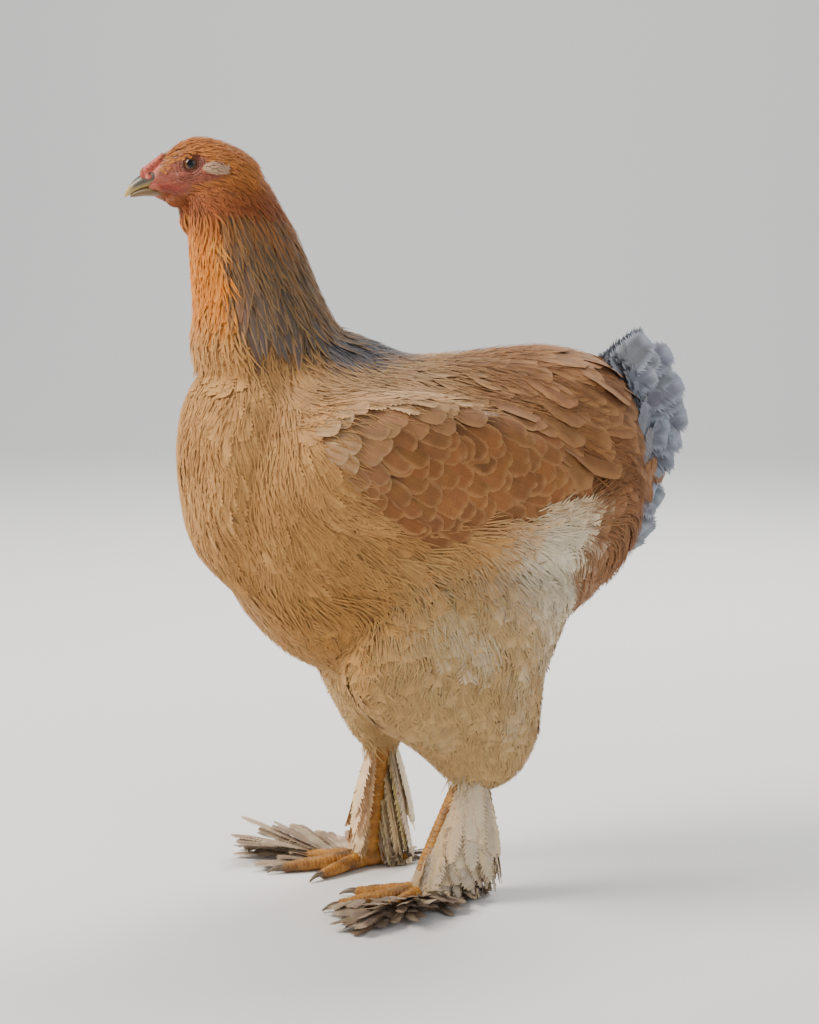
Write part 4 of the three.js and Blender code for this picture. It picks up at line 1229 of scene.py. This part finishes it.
strands(throat, p, 15 + 12 * down, 1.7, 6, 2.0 + 1.6 * down, 0.1, tone, round_neck, curl=0.05, lean=0.22,
    sway=0.35 * noise(p, 24, 4), soft=0.7)
coats.append(throat)

# Saddle and back
saddle = Coat("coat_saddle", "cinnamon_feather", soft)
p = roots_of("saddle", lambda q: 8.4 + 3.0 * smooth(0, 80, q[:, 1]))
back = smooth(0, 80, p[:, 1])


def saddle_colour(q):
    swirl = smooth(-0.4, 0.9, noise(q, 38, 4)) * smooth(-10, 60, q[:, 1])
    return mix(trunk_colour(q), RUST, 0.45 * swirl)


tone = varied(saddle_colour(p), 0.06)
lay(saddle, p, 34 + 30 * back, 22 + 8 * back, ROUND, 11, 2.2 + 1.4 * back, 0.035 + 0.04 * back, tone * 0.84,
    clipped(mix(tone, SADDLE_RIM, 0.4)), round_trunk, mid=0.7, slant=0.3, camber=0.22, ragged=0.05,
    curl=0.0, lean=0.28, sway=0.5 * noise(p, 60, 1), soft=0.45, roll=0.16)
p = roots_of("saddle", 3.9)
tone = varied(saddle_colour(p) * 1.03, 0.08)
back = smooth(0, 80, p[:, 1])
strands(saddle, p, 30 + 4 * back, 1.2, 6, 3.8 + 0.6 * back, 0.1, tone, round_trunk, curl=0.03, lean=0.26,
    sway=0.5 * noise(p, 60, 1), soft=0.75)
coats.append(saddle)

# Rump
rump = Coat("coat_rump", "cinnamon_feather", soft)
p = roots_of("rump", 9.0)


def rump_colour(q):
    return mix(trunk_colour(q), SADDLE, 0.4 * smooth(-0.2, 1, noise(q, 34, 6)))


tone = varied(rump_colour(p), 0.06)
lay(rump, p, 52 - 22 * smooth(320, 270, p[:, 2]), 29, ROUND, 12, 3.0, 0.055, tone * 0.84,
    clipped(tone * 1.16), round_trunk, mid=0.65, slant=0.35, camber=0.2, ragged=0.05, curl=0.02, lean=0.26,
    sway=0.5 * noise(p, 60, 1), soft=0.5, roll=0.14)
p = roots_of("rump", 3.6)
tone = varied(rump_colour(p), 0.09)
strands(rump, p, 36 - 10 * smooth(320, 270, p[:, 2]), 1.4, 6, 4.8, 0.12, tone, round_trunk, curl=0.05,
    lean=0.28, sway=0.5 * noise(p, 60, 1), soft=0.75)
coats.append(rump)

# Loose fluff of the flanks, belly and thighs: broad soft feathers with fine locks of down over them
fluff = Coat("coat_fluff", "cream_feather", soft)
p = roots_of("fluff", lambda q: 8.8 - 1.8 * smooth(170, 128, q[:, 2]), lambda q: q[:, 2] > 124)
tone = varied(trunk_colour(p), 0.025)
low = smooth(200, 128, p[:, 2])
lay(fluff, p, 42 - 20 * low, 26 - 11 * low, BROAD, 13, 2.0, 0.08, tone * 0.95, clipped(tone * 1.06),
    round_trunk, fringe=True, mid=0.6, slant=0.9, camber=0.1, ragged=0.16, curl=0.02, lean=0.16,
    hang=0.04, soft=0.8)
coats.append(fluff)
down_coat = Coat("coat_down", "cream_feather", down_paint)
p = roots_of("fluff", lambda q: 2.6 - 0.3 * smooth(170, 128, q[:, 2]))
low = smooth(200, 128, p[:, 2])
tone = varied(trunk_colour(p), 0.05)
sway = 0.5 * noise(p, 40, 1)
strands(down_coat, p, 33 - 8 * low, 1.5, 5, 3.6 - 1.0 * low, 0.085, tone, round_trunk, curl=0.05, lean=0.24,
    sway=sway, soft=0.85)
coats.append(down_coat)

# Hackle
hackle = Coat("coat_hackle", "hackle_feather", lance)
p = roots_of("hackle", lambda q: 4.0 + 1.8 * smooth(575, 490, q[:, 2]))
down = smooth(585, 455, p[:, 2])
turn = neck_turn(p)
edge_gold = mix(srgb(164, 106, 56), GOLD, smooth(0.0, 0.5, down))
greyed = 0.5 * smooth(0.3, 0.8, down) * smooth(-0.3, 0.8, noise(p, 18, 2))
edge_gold = mix(edge_gold, srgb(150, 126, 104), greyed)
heart = mix(srgb(138, 88, 50), DUSK, smooth(0.02, 0.24, down) * smooth(50, 72, turn))
heart = mix(heart, DUSK_BLUE, smooth(0.4, 0.9, down) * 0.8)
lay(hackle, p, 24 + 42 * down, 6.4 + 6.0 * down, LANCE, 9, 0.8, 0.09, varied(heart, 0.09),
    varied(edge_gold, 0.1), round_neck, mid=0.6, slant=0.2, camber=0.3, curl=0.0, lean=0.12, settle=0.4)
p = roots_of("hackle", lambda q: 3.4 + 1.4 * smooth(575, 490, q[:, 2]))
down = smooth(585, 455, p[:, 2])
tone = mix(srgb(166, 106, 56), mix(GOLD, DUSK, 0.3), smooth(0.0, 0.6, down))
tone = mix(tone, DUSK, 0.8 * smooth(-0.1, 0.5, noise(p * (1, 1, 0.3), 11, 5)) * smooth(0.02, 0.26, down))
tone = varied(tone, 0.1)
strands(hackle, p, 17 + 26 * down, 1.3, 6, 1.8 + 1.2 * down, 0.1, tone, round_neck, curl=0.02,
        lean=0.16, soft=0.55)
coats.append(hackle)

# Wing coverts in rows, and the flight feathers under them
wing = Coat("coat_wing", "cinnamon_feather", firm)


def wing_rows(side):
    """Roots in staggered rows that slope down to the back, on one wing."""
    pitch_along, pitch_across, slope = 13.0, 12.0, 0.52
    c, s = math.cos(slope), math.sin(slope)
    found = []
    for i in range(-20, 22):
        for j in range(-16, 17):
            a, b = (i + 0.5 * (j % 2)) * pitch_along, j * pitch_across
            found.append((-5 + a * c + b * s, 362 - a * s + b * c))
    grid = np.array(found) + rng.normal(0, 1.5, (len(found), 2))
    grid = grid[inside(WING_EDGE, grid[:, 0], grid[:, 1])]
    return onto_side(grid[:, 0], grid[:, 1], side)


def wing_way(p):
    count = len(p)
    fall = -0.62 + 0.34 * smooth(340, 306, p[:, 2]) + 0.16 * smooth(0, 110, p[:, 1])
    fall = fall + 0.12 * noise(p, 50, 3)
    return unit(np.stack([np.zeros(count), np.ones(count), fall], 1))


def flight_way(p):
    return unit(np.stack([np.zeros(len(p)), np.ones(len(p)), np.full(len(p), -0.12)], 1))


for side in (1, -1):
    count = 9
    p = onto_side(np.linspace(-30, 30, count), np.linspace(317, 358, count), side)
    tone = mix(CINNAMON * 0.8, CINNAMON, np.linspace(0, 1, count))
    lay(wing, p, np.linspace(120, 88, count), 21, STRAP, 14, 0.4, 0.03, varied(tone, 0.05) * 0.9,
        varied(np.broadcast_to(CINNAMON_RIM, p.shape), 0.04) * 0.8, round_trunk, flight_way, mid=0.7,
        slant=0.12, camber=0.2, lean=0.01, settle=0.7)
    p = wing_rows(side)
    front = smooth(-50, -110, p[:, 1]) * smooth(340, 385, p[:, 2])
    top = smooth(390, 412, p[:, 2])
    low = smooth(345, 305, p[:, 2])
    # paler towards the front and the top of the wing: a painted highlight that carries on from the shoulder's
    tone = mix(CINNAMON, SAND_PINK, clipped(front * 0.66 + top * 0.34))
    tone = mix(tone, RUST, 0.5 * smooth(-0.5, 0.8, noise(p, 36, 7)) * (1 - front))
    tone = tone * (1 - 0.3 * smooth(352, 318, p[:, 2]))[:, None]
    rim = mix(tone, CINNAMON_RIM, 0.42)
    rim = mix(rim, SAND_PINK, front * 0.6)
    long = 25 + 12 * smooth(-100, -20, p[:, 1]) + 4 * low
    wide = (18.0 + 5 * smooth(-100, 0, p[:, 1])) * rng.uniform(0.88, 1.12, len(p))
    lay(wing, p, long, wide, ROUND, 10, 1.2, 0.1, varied(tone, 0.08), varied(rim, 0.06), round_trunk,
        wing_way, mid=0.7, slant=0.15, camber=0.2, lean=0.16, roll=0.08, soft=0.5, ragged=0.02)
p = roots_of("wing", 4.4, lambda q: smooth(-66, -96, q[:, 1]) + smooth(392, 402, q[:, 2]) > 0.3)
tone = varied(mix(trunk_colour(p), CINNAMON_RIM, 0.4), 0.06)
strands(wing, p, 15, 1.0, 5, 3.0, 0.06, tone, round_trunk, wing_way, curl=0.03, lean=0.3, soft=0.85)
coats.append(wing)

# Head
cap = Coat("coat_head", "buff_feather", soft)
p = roots_of("head", lambda q: 2.5 + 1.3 * smooth(10, 50, head_in(q)[:, 1]))
own = head_in(p)
tone = mix(srgb(186, 112, 52), srgb(150, 80, 40), smooth(0, -22, own[:, 2]))
near_face = smooth(-34, -6, own[:, 1])
lay(cap, p, 5.5 + 4.5 * near_face + 3 * smooth(20, 46, own[:, 1]), 3.0 + 1.6 * near_face, ROUND, 5, 0.1, 0.12,
    varied(tone, 0.07) * 0.9, clipped(varied(tone, 0.07) * 1.14), round_head, mid=0.6, slant=0.5,
    camber=0.2, fringe=True, ragged=0.12, lean=0.12)
p = roots_of("head", lambda q: 1.9 + 0.7 * smooth(10, 50, head_in(q)[:, 1]))
own = head_in(p)
tone = mix(srgb(198, 124, 60), srgb(158, 88, 44), smooth(0, -22, own[:, 2]))
tone = varied(mix(tone, srgb(120, 72, 40), 0.5 * smooth(0.1, 0.8, noise(own * (1, 0.5, 1), 7, 5))), 0.09)
near_face = smooth(-36, -6, own[:, 1])
strands(cap, p, 4.5 + 5 * near_face + 3 * smooth(20, 46, own[:, 1]), 0.62 + 0.3 * near_face, 4, 0.6, 0.16,
        tone, round_head, lean=0.16, curl=0.04, soft=0.6)


def clear_of_eye(q):
    own = head_in(q)
    return (own[:, 1] > -33) & (from_eye(own, 1) > 10.5)


p = roots_of("bare", 1.9, clear_of_eye)
tone = np.broadcast_to(srgb(168, 96, 62), p.shape)
lay(cap, p, 3.6, 0.55, WISP, 4, 0.1, 0.12, varied(tone, 0.1), varied(tone, 0.1), round_head, lean=0.2,
    lock=True, soft=0.6)
p = roots_of("ear", 1.5)
tone = np.broadcast_to(srgb(196, 156, 126), p.shape)
lay(cap, p, 6.6, 2.2, ROUND, 6, 0.2, 0.16, varied(tone, 0.05), varied(tone, 0.05), round_head, mid=0.5,
    slant=0.7, camber=0.2, fringe=True, ragged=0.25, lean=0.16)
coats.append(cap)


# Tail: two sides like a steep roof, the upper feathers outside, with coverts over their roots
tail = Coat("coat_tail", "slate_feather", vane)
TAIL_ROOT = np.array([4.0, 142.0, 378.0])
ROOF = math.radians(24)
TAIL_FAN = [(42, 2, 118), (34, 4, 116), (26, 7, 112), (18, 10, 104), (10, 13, 94), (0, 16, 80),
            (-12, 18, 70), (-25, 20, 66), (-38, 21, 66), (-50, 21, 64)]


def tail_feathers(side, fan, out, scale, wide, wild):
    lines, outs = [], []
    share = np.linspace(0, 1, 46)[:, None]
    for i, (rise, spread, long) in enumerate(fan):
        rise = math.radians(rise + rng.normal(0, wild))
        turn = math.radians(spread + rng.normal(0, wild * 0.4))
        way = unit(np.array([side * math.sin(turn), math.cos(turn) * math.cos(rise), math.sin(rise)]))
        face = np.array([side * math.cos(ROOF), 0, math.sin(ROOF)])
        start = TAIL_ROOT * (side, 1, 1) + face * (out - 1.1 * i) + np.array([0, 3.2 * i, -4.6 * i])
        long = long * scale * rng.uniform(0.94, 1.04)
        beside = unit(np.cross(way, face))
        sag = np.array([0, 0, -10.0]) * share**2
        wave = face * (np.sin(share * math.pi) * 4 + np.sin(share * 5 + rng.uniform(0, 6)) * 1.2)
        bend = beside * share**2 * rng.normal(0, 5)
        lines.append(start + way * long * share + sag + wave + bend)
        outs.append(np.broadcast_to(face, (46, 3)) + beside * np.sin(share * 6 + rng.uniform(0, 6)) * 0.14)
    lines, outs = np.array(lines), unit(np.array(outs))
    tint = varied(np.broadcast_to(SLATE, (len(fan), 3)), 0.07)
    rim = varied(np.broadcast_to(SLATE_RIM, (len(fan), 3)), 0.05)
    tail.add(lines, outs, np.full(len(fan), wide) * rng.uniform(0.9, 1.12, len(fan)), BROAD, tint, rim,
             round_trunk(lines[:, 0]), mid=0.76, slant=0.6, camber=0.1, ragged=0.09, fringe=True, soft=0.35,
             roll=rng.normal(0, 0.08, len(fan)))


for side in (1, -1):
    tail_feathers(side, TAIL_FAN, 6, 1.0, 36, 1.5)
    tail_feathers(side, TAIL_FAN, 9, 0.92, 34, 3.0)
    tail_feathers(side, TAIL_FAN[1:], 12, 0.8, 32, 3.0)
p = roots_of("tail", 9.0)
tone = mix(SLATE, SADDLE * 0.8, smooth(346, 334, p[:, 2]))


def tail_way(q):
    count = len(q)
    up = 0.2 + 0.9 * smooth(340, 420, q[:, 2]) - 0.9 * smooth(350, 300, q[:, 2])
    return unit(np.stack([0.25 * np.sign(q[:, 0]), np.ones(count), up], 1))


lay(tail, p, 42, 26, BROAD, 24, 1.0, 0.3, varied(tone, 0.05), clipped(varied(tone, 0.04) * 1.25), round_trunk,
    tail_way, fringe=True, mid=0.74, slant=0.6, camber=0.16, ragged=0.12, curl=0.06, lean=0.3, roll=0.15)
coats.append(tail)


# Boots: long feathers that hang down the outer and rear sides of the shanks to the floor
boot = Coat("coat_boot", "cream_feather", muddy)


def hanging(roots, ways, long, steps, fall, floor):
    """Lines that start along the ways, sink under their weight and spread where they meet the floor."""
    line, heading = [roots], ways
    for _ in range(steps):
        heading = unit(heading + np.array([0, 0, -1.0]) * (fall / steps))
        ahead = line[-1] + heading * (long / steps)[:, None]
        low = np.maximum(floor - ahead[:, 2], 0)
        ahead[:, 2] += low
        level = unit(ahead * (1, 1, 0) - line[-1] * (1, 1, 0))
        ahead += level * (low * 0.7)[:, None]
        line.append(ahead)
    return np.stack(line, 1)


def faced(line, away):
    """Outward directions for free lines: away from the leg, and square to each line."""
    along = unit(np.gradient(line, axis=1))
    away = away[:, None, :]
    return unit(away - along * np.sum(away * along, -1, keepdims=True))


for side in (1, -1):
    count = 340 if side > 0 else 400
    high = 22 + 98 * rng.random(count) ** 0.8
    turn = np.radians(rng.uniform(-128, 80, count) if side > 0 else rng.uniform(-125, 122, count))
    out = np.stack([side * np.cos(turn), -np.sin(turn), np.zeros(count)], 1)
    middle, thick = shank_at(side, high)
    roots = middle + out * (thick * 0.8)[:, None]
    rear = smooth(20, -80, np.degrees(turn))
    flare = (0.38 - 0.1 * rear) * rng.uniform(0.6, 1.2, count) + 0.16 * smooth(60, 30, high)
    ways = unit(out * flare[:, None] + (0, 0, -1))
    long = (36 + 30 * smooth(40, 100, high)) * rng.uniform(0.86, 1.1, count)
    long = long + (np.minimum(high * 0.95 + 8, 96) * rng.uniform(0.8, 1.05, count) - long) * rear
    line = hanging(roots, ways, long, 19, 0.5, rng.uniform(1.6, 5.0, count))
    outs = faced(line, out)
    tone = mix(SAND_PALE, srgb(196, 182, 170), rng.random(count) * 0.8)
    tone = mix(tone, srgb(206, 168, 118), smooth(30, 60, np.degrees(turn)) * 0.6)
    # the far boot's feathers are painted half again as light: painted light that offsets the shade they stand
    # in
    tone = clipped(tone * (1.0 if side > 0 else 1.5))
    boot.add(line, outs, rng.uniform(12, 17, count), BROAD, varied(tone, 0.05) * 0.94, varied(tone, 0.04),
             round_leg(roots), mid=0.56, fringe=True, slant=0.9, camber=0.12, ragged=0.13, hang=0.06,
             soft=0.6, on_floor=True, roll=rng.normal(0, 0.22, count))
coats.append(boot)

# Feathers of the outer and middle toes, spread outwards over the floor
toes_coat = Coat("coat_toes", "cream_feather", muddy)
FOOT_SCALE = {1: 0.92, -1: 1.06}
FAR_OUT = 139.0
OUTER_SHARE = (0.1, 0.2, 0.34, 0.48, 0.62, 0.75, 0.9)
OUTER_TURN = (104, 90, 74, 59, 45, 34, 24)
OUTER_LONG = (48, 54, 60, 66, 74, 76, 64)
for side in (1, -1):
    foot = foot_at(side)
    for toe, count, size, wild in (("outer", 58, 1.0, 9), ("middle", 22, 0.5, 12), ("hind", 10, 0.55, 30)):
        turn, reach, thick = TOES[toe]
        share = rng.uniform(0.06, 0.9, count)
        ahead = np.interp(share, OUTER_SHARE, OUTER_TURN) + rng.normal(0, wild, count)
        if toe == "hind":
            ahead = rng.uniform(70, 165, count)
        rise = np.abs(rng.normal(4, 14, count)).clip(0, 24) * (1.0 if toe == "outer" else 0.5)
        long = np.interp(share, OUTER_SHARE, OUTER_LONG) * size * FOOT_SCALE[side]
        long = long * rng.uniform(0.62, 1.04, count)
        ways = np.array([toe_way(side, -a, r) for a, r in zip(ahead, rise)])
        toe_ahead = toe_way(side, turn)
        beside = np.cross(toe_ahead, (0, 0, 1.0)) * (-side)
        roots = foot + toe_ahead * (reach * share)[:, None] + beside * thick * 0.3
        roots[:, 2] = 4.5 + 4.0 * rng.random(count)
        long = np.minimum(long, (FAR_OUT - np.abs(roots[:, 0])) / np.maximum(np.abs(ways[:, 0]), 0.1))
        line = hanging(roots, ways, long, 24, 0.18, rng.uniform(1.2, 3.4, count))
        up = np.broadcast_to([0.0, 0.0, 1.0], (count, 3))
        tone = mix(srgb(200, 178, 150), srgb(142, 120, 100), rng.random(count))
        wide = rng.uniform(9, 13, count) * (0.8 + 0.2 * size)
        toes_coat.add(line, faced(line, up), wide, STRAP, varied(tone, 0.1) * 0.85, varied(tone, 0.08) * 1.1,
                      round_leg(roots), mid=0.66, fringe=True, slant=0.8, camber=0.2, ragged=0.12, soft=0.2,
                      roll=rng.normal(0, 0.22, count), on_floor=True)
coats.append(toes_coat)


# ---------------------------------------------------------------- skin's colours
def skin_colours(co):
    # the skin takes the plumage's colour, darkened to 0.8 as painted shade deep between the feathers
    c = trunk_colour(co) * 0.8
    own = head_in(co)
    comb, face, wattle, ear = head_groups(own)
    near_head = smooth(-36, -28, own[:, 2]) * smooth(520, 550, co[:, 2])
    c = mix(c, srgb(150, 86, 42), near_head)
    flush = mix(srgb(160, 74, 54), srgb(128, 62, 40), clipped(0.5 + 0.6 * noise(own, 9, 4)))
    flush = mix(flush, srgb(104, 52, 34), (1 - smooth(6.5, 11, from_eye(own, 1.15))) * 0.8)
    mouth = hump(own[:, 2] + 13.5 + 0.12 * (own[:, 1] + 20), 2.0) * smooth(-8, -16, own[:, 1])
    flush = mix(flush, srgb(150, 44, 34), mouth)
    c = mix(c, flush, clipped(face + 0.25 * wattle) * smooth(540, 550, co[:, 2]))
    c = mix(c, srgb(176, 84, 66), smooth(-30, -35, own[:, 1]) * smooth(2, -4, own[:, 2]) * near_head)
    c = mix(c, srgb(206, 104, 84), comb * smooth(540, 550, co[:, 2]))
    # the nostril painted dark, as painted shade in its opening
    nostril = np.exp(-(((own[:, 1] + 38) / 2.0) ** 2) - ((own[:, 2] + 2.6) / 1.0) ** 2)
    c = mix(c, srgb(66, 30, 24), clipped(1.2 * nostril) * smooth(2, 4, np.abs(own[:, 0])) * near_head)
    c = mix(c, srgb(178, 148, 116), ear * smooth(540, 550, co[:, 2]))
    leg = smooth(122, 108, co[:, 2])
    soiled = clipped(noise(co, 17, 3) * 0.7 + 0.5 * smooth(16, 0, co[:, 2]))
    return mix(c, mix(srgb(182, 126, 44), srgb(112, 78, 36), soiled), leg)


set_coords(skin.data, to_row(skin_co))
paint_points(skin.data, "tint", skin_colours(skin_co))
skin.data.materials.clear()
skin.data.materials.append(skin_paint())
skin.data.polygons.foreach_set("material_index", [0] * len(skin.data.polygons))
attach(skin, "root")
FLESH = ("head", "torso", "neck", "thigh", "shank", "foot", "comb", "wattle", "earlobe", "wing", "tail")
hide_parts(*[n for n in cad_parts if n.startswith(FLESH)])
for coat in coats:
    coat.write()


# ---------------------------------------------------------------- bill, eyes and claws
horn = horn_paint()


def finished(name, obj, slot, material, *replaced):
    obj.name = obj.data.name = name
    set_coords(obj.data, to_row(vertex_data(obj.data)))
    obj.data.materials.append(material)
    obj.data.polygons.foreach_set("use_smooth", [True] * len(obj.data.polygons))
    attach(obj, "root")
    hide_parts(*replaced)


def bill(name, rings, replaced):
    upper = name == "bill_upper"
    grown = np.array(rings, float)
    if not upper:
        grown[:, 5] *= 0.8
    grown[:, 5 if upper else 4] += (0.9 if upper else 1.7) * np.minimum(grown[:, 3] / 4, 1)
    obj = mesh_of(name, [lofted(grown, 40, 28)])
    co = vertex_data(obj.data)
    if upper:
        for side in (1, -1):
            hole = np.exp(-(((co[:, 1] + 41.5) / 2.6) ** 2) - ((co[:, 2] + 4.6) / 1.1) ** 2)
            co[:, 0] -= side * hole * (co[:, 0] * side > 2) * 2.6
    dark, pale, edge = srgb(84, 76, 66), srgb(196, 166, 104), smooth(-50, -58, co[:, 1])
    # the lower bill is painted darker than the upper: painted shade under the upper bill
    if not upper:
        dark, pale, edge = dark * 0.7, srgb(116, 88, 48), 0.9 * smooth(-12.5, -18, co[:, 2])
    edge = np.maximum(edge, smooth(-9.5, -12.5, co[:, 2] - 0.35 * (co[:, 1] + 44)) * 0.8)
    paint_points(obj.data, "tint", mix(dark, pale, edge))
    paint_points(obj.data, "rim", mix(dark * 0.75, pale * 0.9, edge))
    set_coords(obj.data, head_out(co))
    finished(name, obj, "horn", horn, replaced)


bill("bill_upper", BEAK_UPPER, "beak_upper")
bill("bill_lower", BEAK_LOWER, "beak_lower")

eye_material = eye_paint()
for side in (1, -1):
    obj = mesh_of("eye", [ball((0, 0, 0), (1, 1, 1), None, 48, 32)])
    co = vertex_data(obj.data)
    co = np.stack([co[:, 2] * side, co[:, 0], co[:, 1]], 1)
    off = np.arccos(np.clip(co[:, 0] * side, -1, 1)) / (math.pi / 2)
    bulge = 1 + 0.05 * (1 - smooth(0.3, 0.62, off))
    layer = obj.data.attributes.new("off_axis", "FLOAT", "POINT")
    layer.data.foreach_set("value", off.astype(np.float32))
    set_coords(obj.data, head_out(co * EYE_RADIUS * bulge[:, None] + EYE_AT * (side, 1, 1)))
    face_outwards(obj.data)
    name = SIDE_NAMES[side]
    finished(f"eyeball_{name}", obj, "eye", eye_material, f"eye_{name}")

NAIL = [(0, 1.5, 0.2, 2.9, 3.1, 2.6), (0, -1, 0.4, 2.8, 3.0, 2.4), (0, -5, 0.6, 2.3, 2.5, 2.0),
        (0, -10, -0.6, 1.5, 1.7, 1.4), (0, -13, -2.1, 0.8, 0.9, 0.8), (0, -14, -2.8, 0.3, 0.4, 0.3)]
for side in (1, -1):
    foot = foot_at(side)
    for toe, (turn, long, _) in TOES.items():
        way = toe_way(side, turn)
        angle = math.atan2(way[0], -way[1])
        root = foot + way * long + (0, 0, 4.6)
        place = lambda p: rotated(p, angle) + root
        obj = mesh_of("nail", [lofted(NAIL, 16, 16, place=place)])
        paint_points(obj.data, "tint", srgb(122, 104, 80))
        paint_points(obj.data, "rim", srgb(84, 70, 54))
        name = f"{SIDE_NAMES[side]}_{toe}"
        finished(f"nail_{name}", obj, "claw", horn, f"claw_{name}")


# ---------------------------------------------------------------- camera, light and floor
VIEW_TURN = math.radians(70)
VIEW_FAR, VIEW_HIGH, VIEW_ASIDE = 1700.0, 515.0, 6.95
FOCAL_PX, TALL_PX, HORIZON_PX = 2079.0, 1024.0, 265.0


def camera():
    back = np.array([math.sin(VIEW_TURN), -math.cos(VIEW_TURN), 0])
    right = np.array([math.cos(VIEW_TURN), math.sin(VIEW_TURN), 0])
    at = back * VIEW_FAR + right * VIEW_ASIDE + (0, 0, VIEW_HIGH)
    data = bpy.data.cameras.new("camera")
    data.sensor_fit = "VERTICAL"
    data.sensor_height = 36
    data.lens = FOCAL_PX / TALL_PX * data.sensor_height
    data.clip_start, data.clip_end = 0.05, 50
    obj = linked("camera", data)
    obj.location = to_row(at)
    down = math.atan((TALL_PX / 2 - HORIZON_PX) / FOCAL_PX)
    obj.rotation_euler = (math.pi / 2 - down, 0, VIEW_TURN)
    bpy.context.scene.camera = obj


def area_light(name, at, aim, size, watts, colour):
    data = bpy.data.lights.new(name, "AREA")
    data.shape = "DISK"
    data.size = size
    data.energy = watts
    data.color = colour
    obj = linked(name, data)
    obj.location = at
    obj.rotation_euler = (Vector(aim) - Vector(at)).to_track_quat("-Z", "Y").to_euler()


def stage():
    mesh = bpy.data.meshes.new("floor")
    reach, rows, deep = 7.0, 24, 4.0
    verts, faces = [], []
    # a floor that curves up into a backdrop on the far side of the camera
    across = np.array([math.cos(VIEW_TURN), math.sin(VIEW_TURN), 0])
    away = np.array([-math.sin(VIEW_TURN), math.cos(VIEW_TURN), 0])
    line = [(-reach, 0.0)]
    for i in range(rows + 1):
        a = math.pi / 2 * i / rows
        line.append((deep + 2.2 * math.sin(a), 2.2 * (1 - math.cos(a))))
    line.append((deep + 2.2, 6.0))
    for far, high in line:
        for side in (-reach, reach):
            verts.append(tuple(across * side + away * far + (0, 0, high)))
    for i in range(len(line) - 1):
        faces.append((2 * i, 2 * i + 1, 2 * i + 3, 2 * i + 2))
    mesh.from_pydata(verts, [], faces)
    mesh.polygons.foreach_set("use_smooth", [True] * len(faces))
    floor = linked("floor", mesh)
    paint = bpy.data.materials.new("floor")
    paint.use_nodes = True
    shader = paint.node_tree.nodes["Principled BSDF"]
    shader.inputs["Base Color"].default_value = (0.86, 0.85, 0.83, 1)
    shader.inputs["Roughness"].default_value = 0.9
    floor.data.materials.append(paint)
    floor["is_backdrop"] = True
    world = bpy.data.worlds.new("world")
    world.use_nodes = True
    sky = world.node_tree.nodes["Background"]
    sky.inputs["Color"].default_value = (0.86, 0.92, 1.0, 1)
    sky.inputs["Strength"].default_value = 0.42
    bpy.context.scene.world = world
    aim = (0, 0, 0.33)
    area_light("key", across * -1.9 - away * 0.45 + (0, 0, 1.75), aim, 1.1, 78, (1.0, 0.94, 0.85))
    area_light("fill", across * 1.5 - away * 2.1 + (0, 0, 1.5), aim, 2.2, 20, (0.96, 0.98, 1.0))
    area_light("wall", away * 1.2 + (0, 0, 3.4), away * 4.5 + (0, 0, 0.9), 2.2, 130, (1.0, 0.99, 0.97))
    area_light("rim", across + away * 1.7 + (0, 0, 2.0), aim, 1.0, 36, (1.0, 0.97, 0.92))


camera()
stage()
low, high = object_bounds()
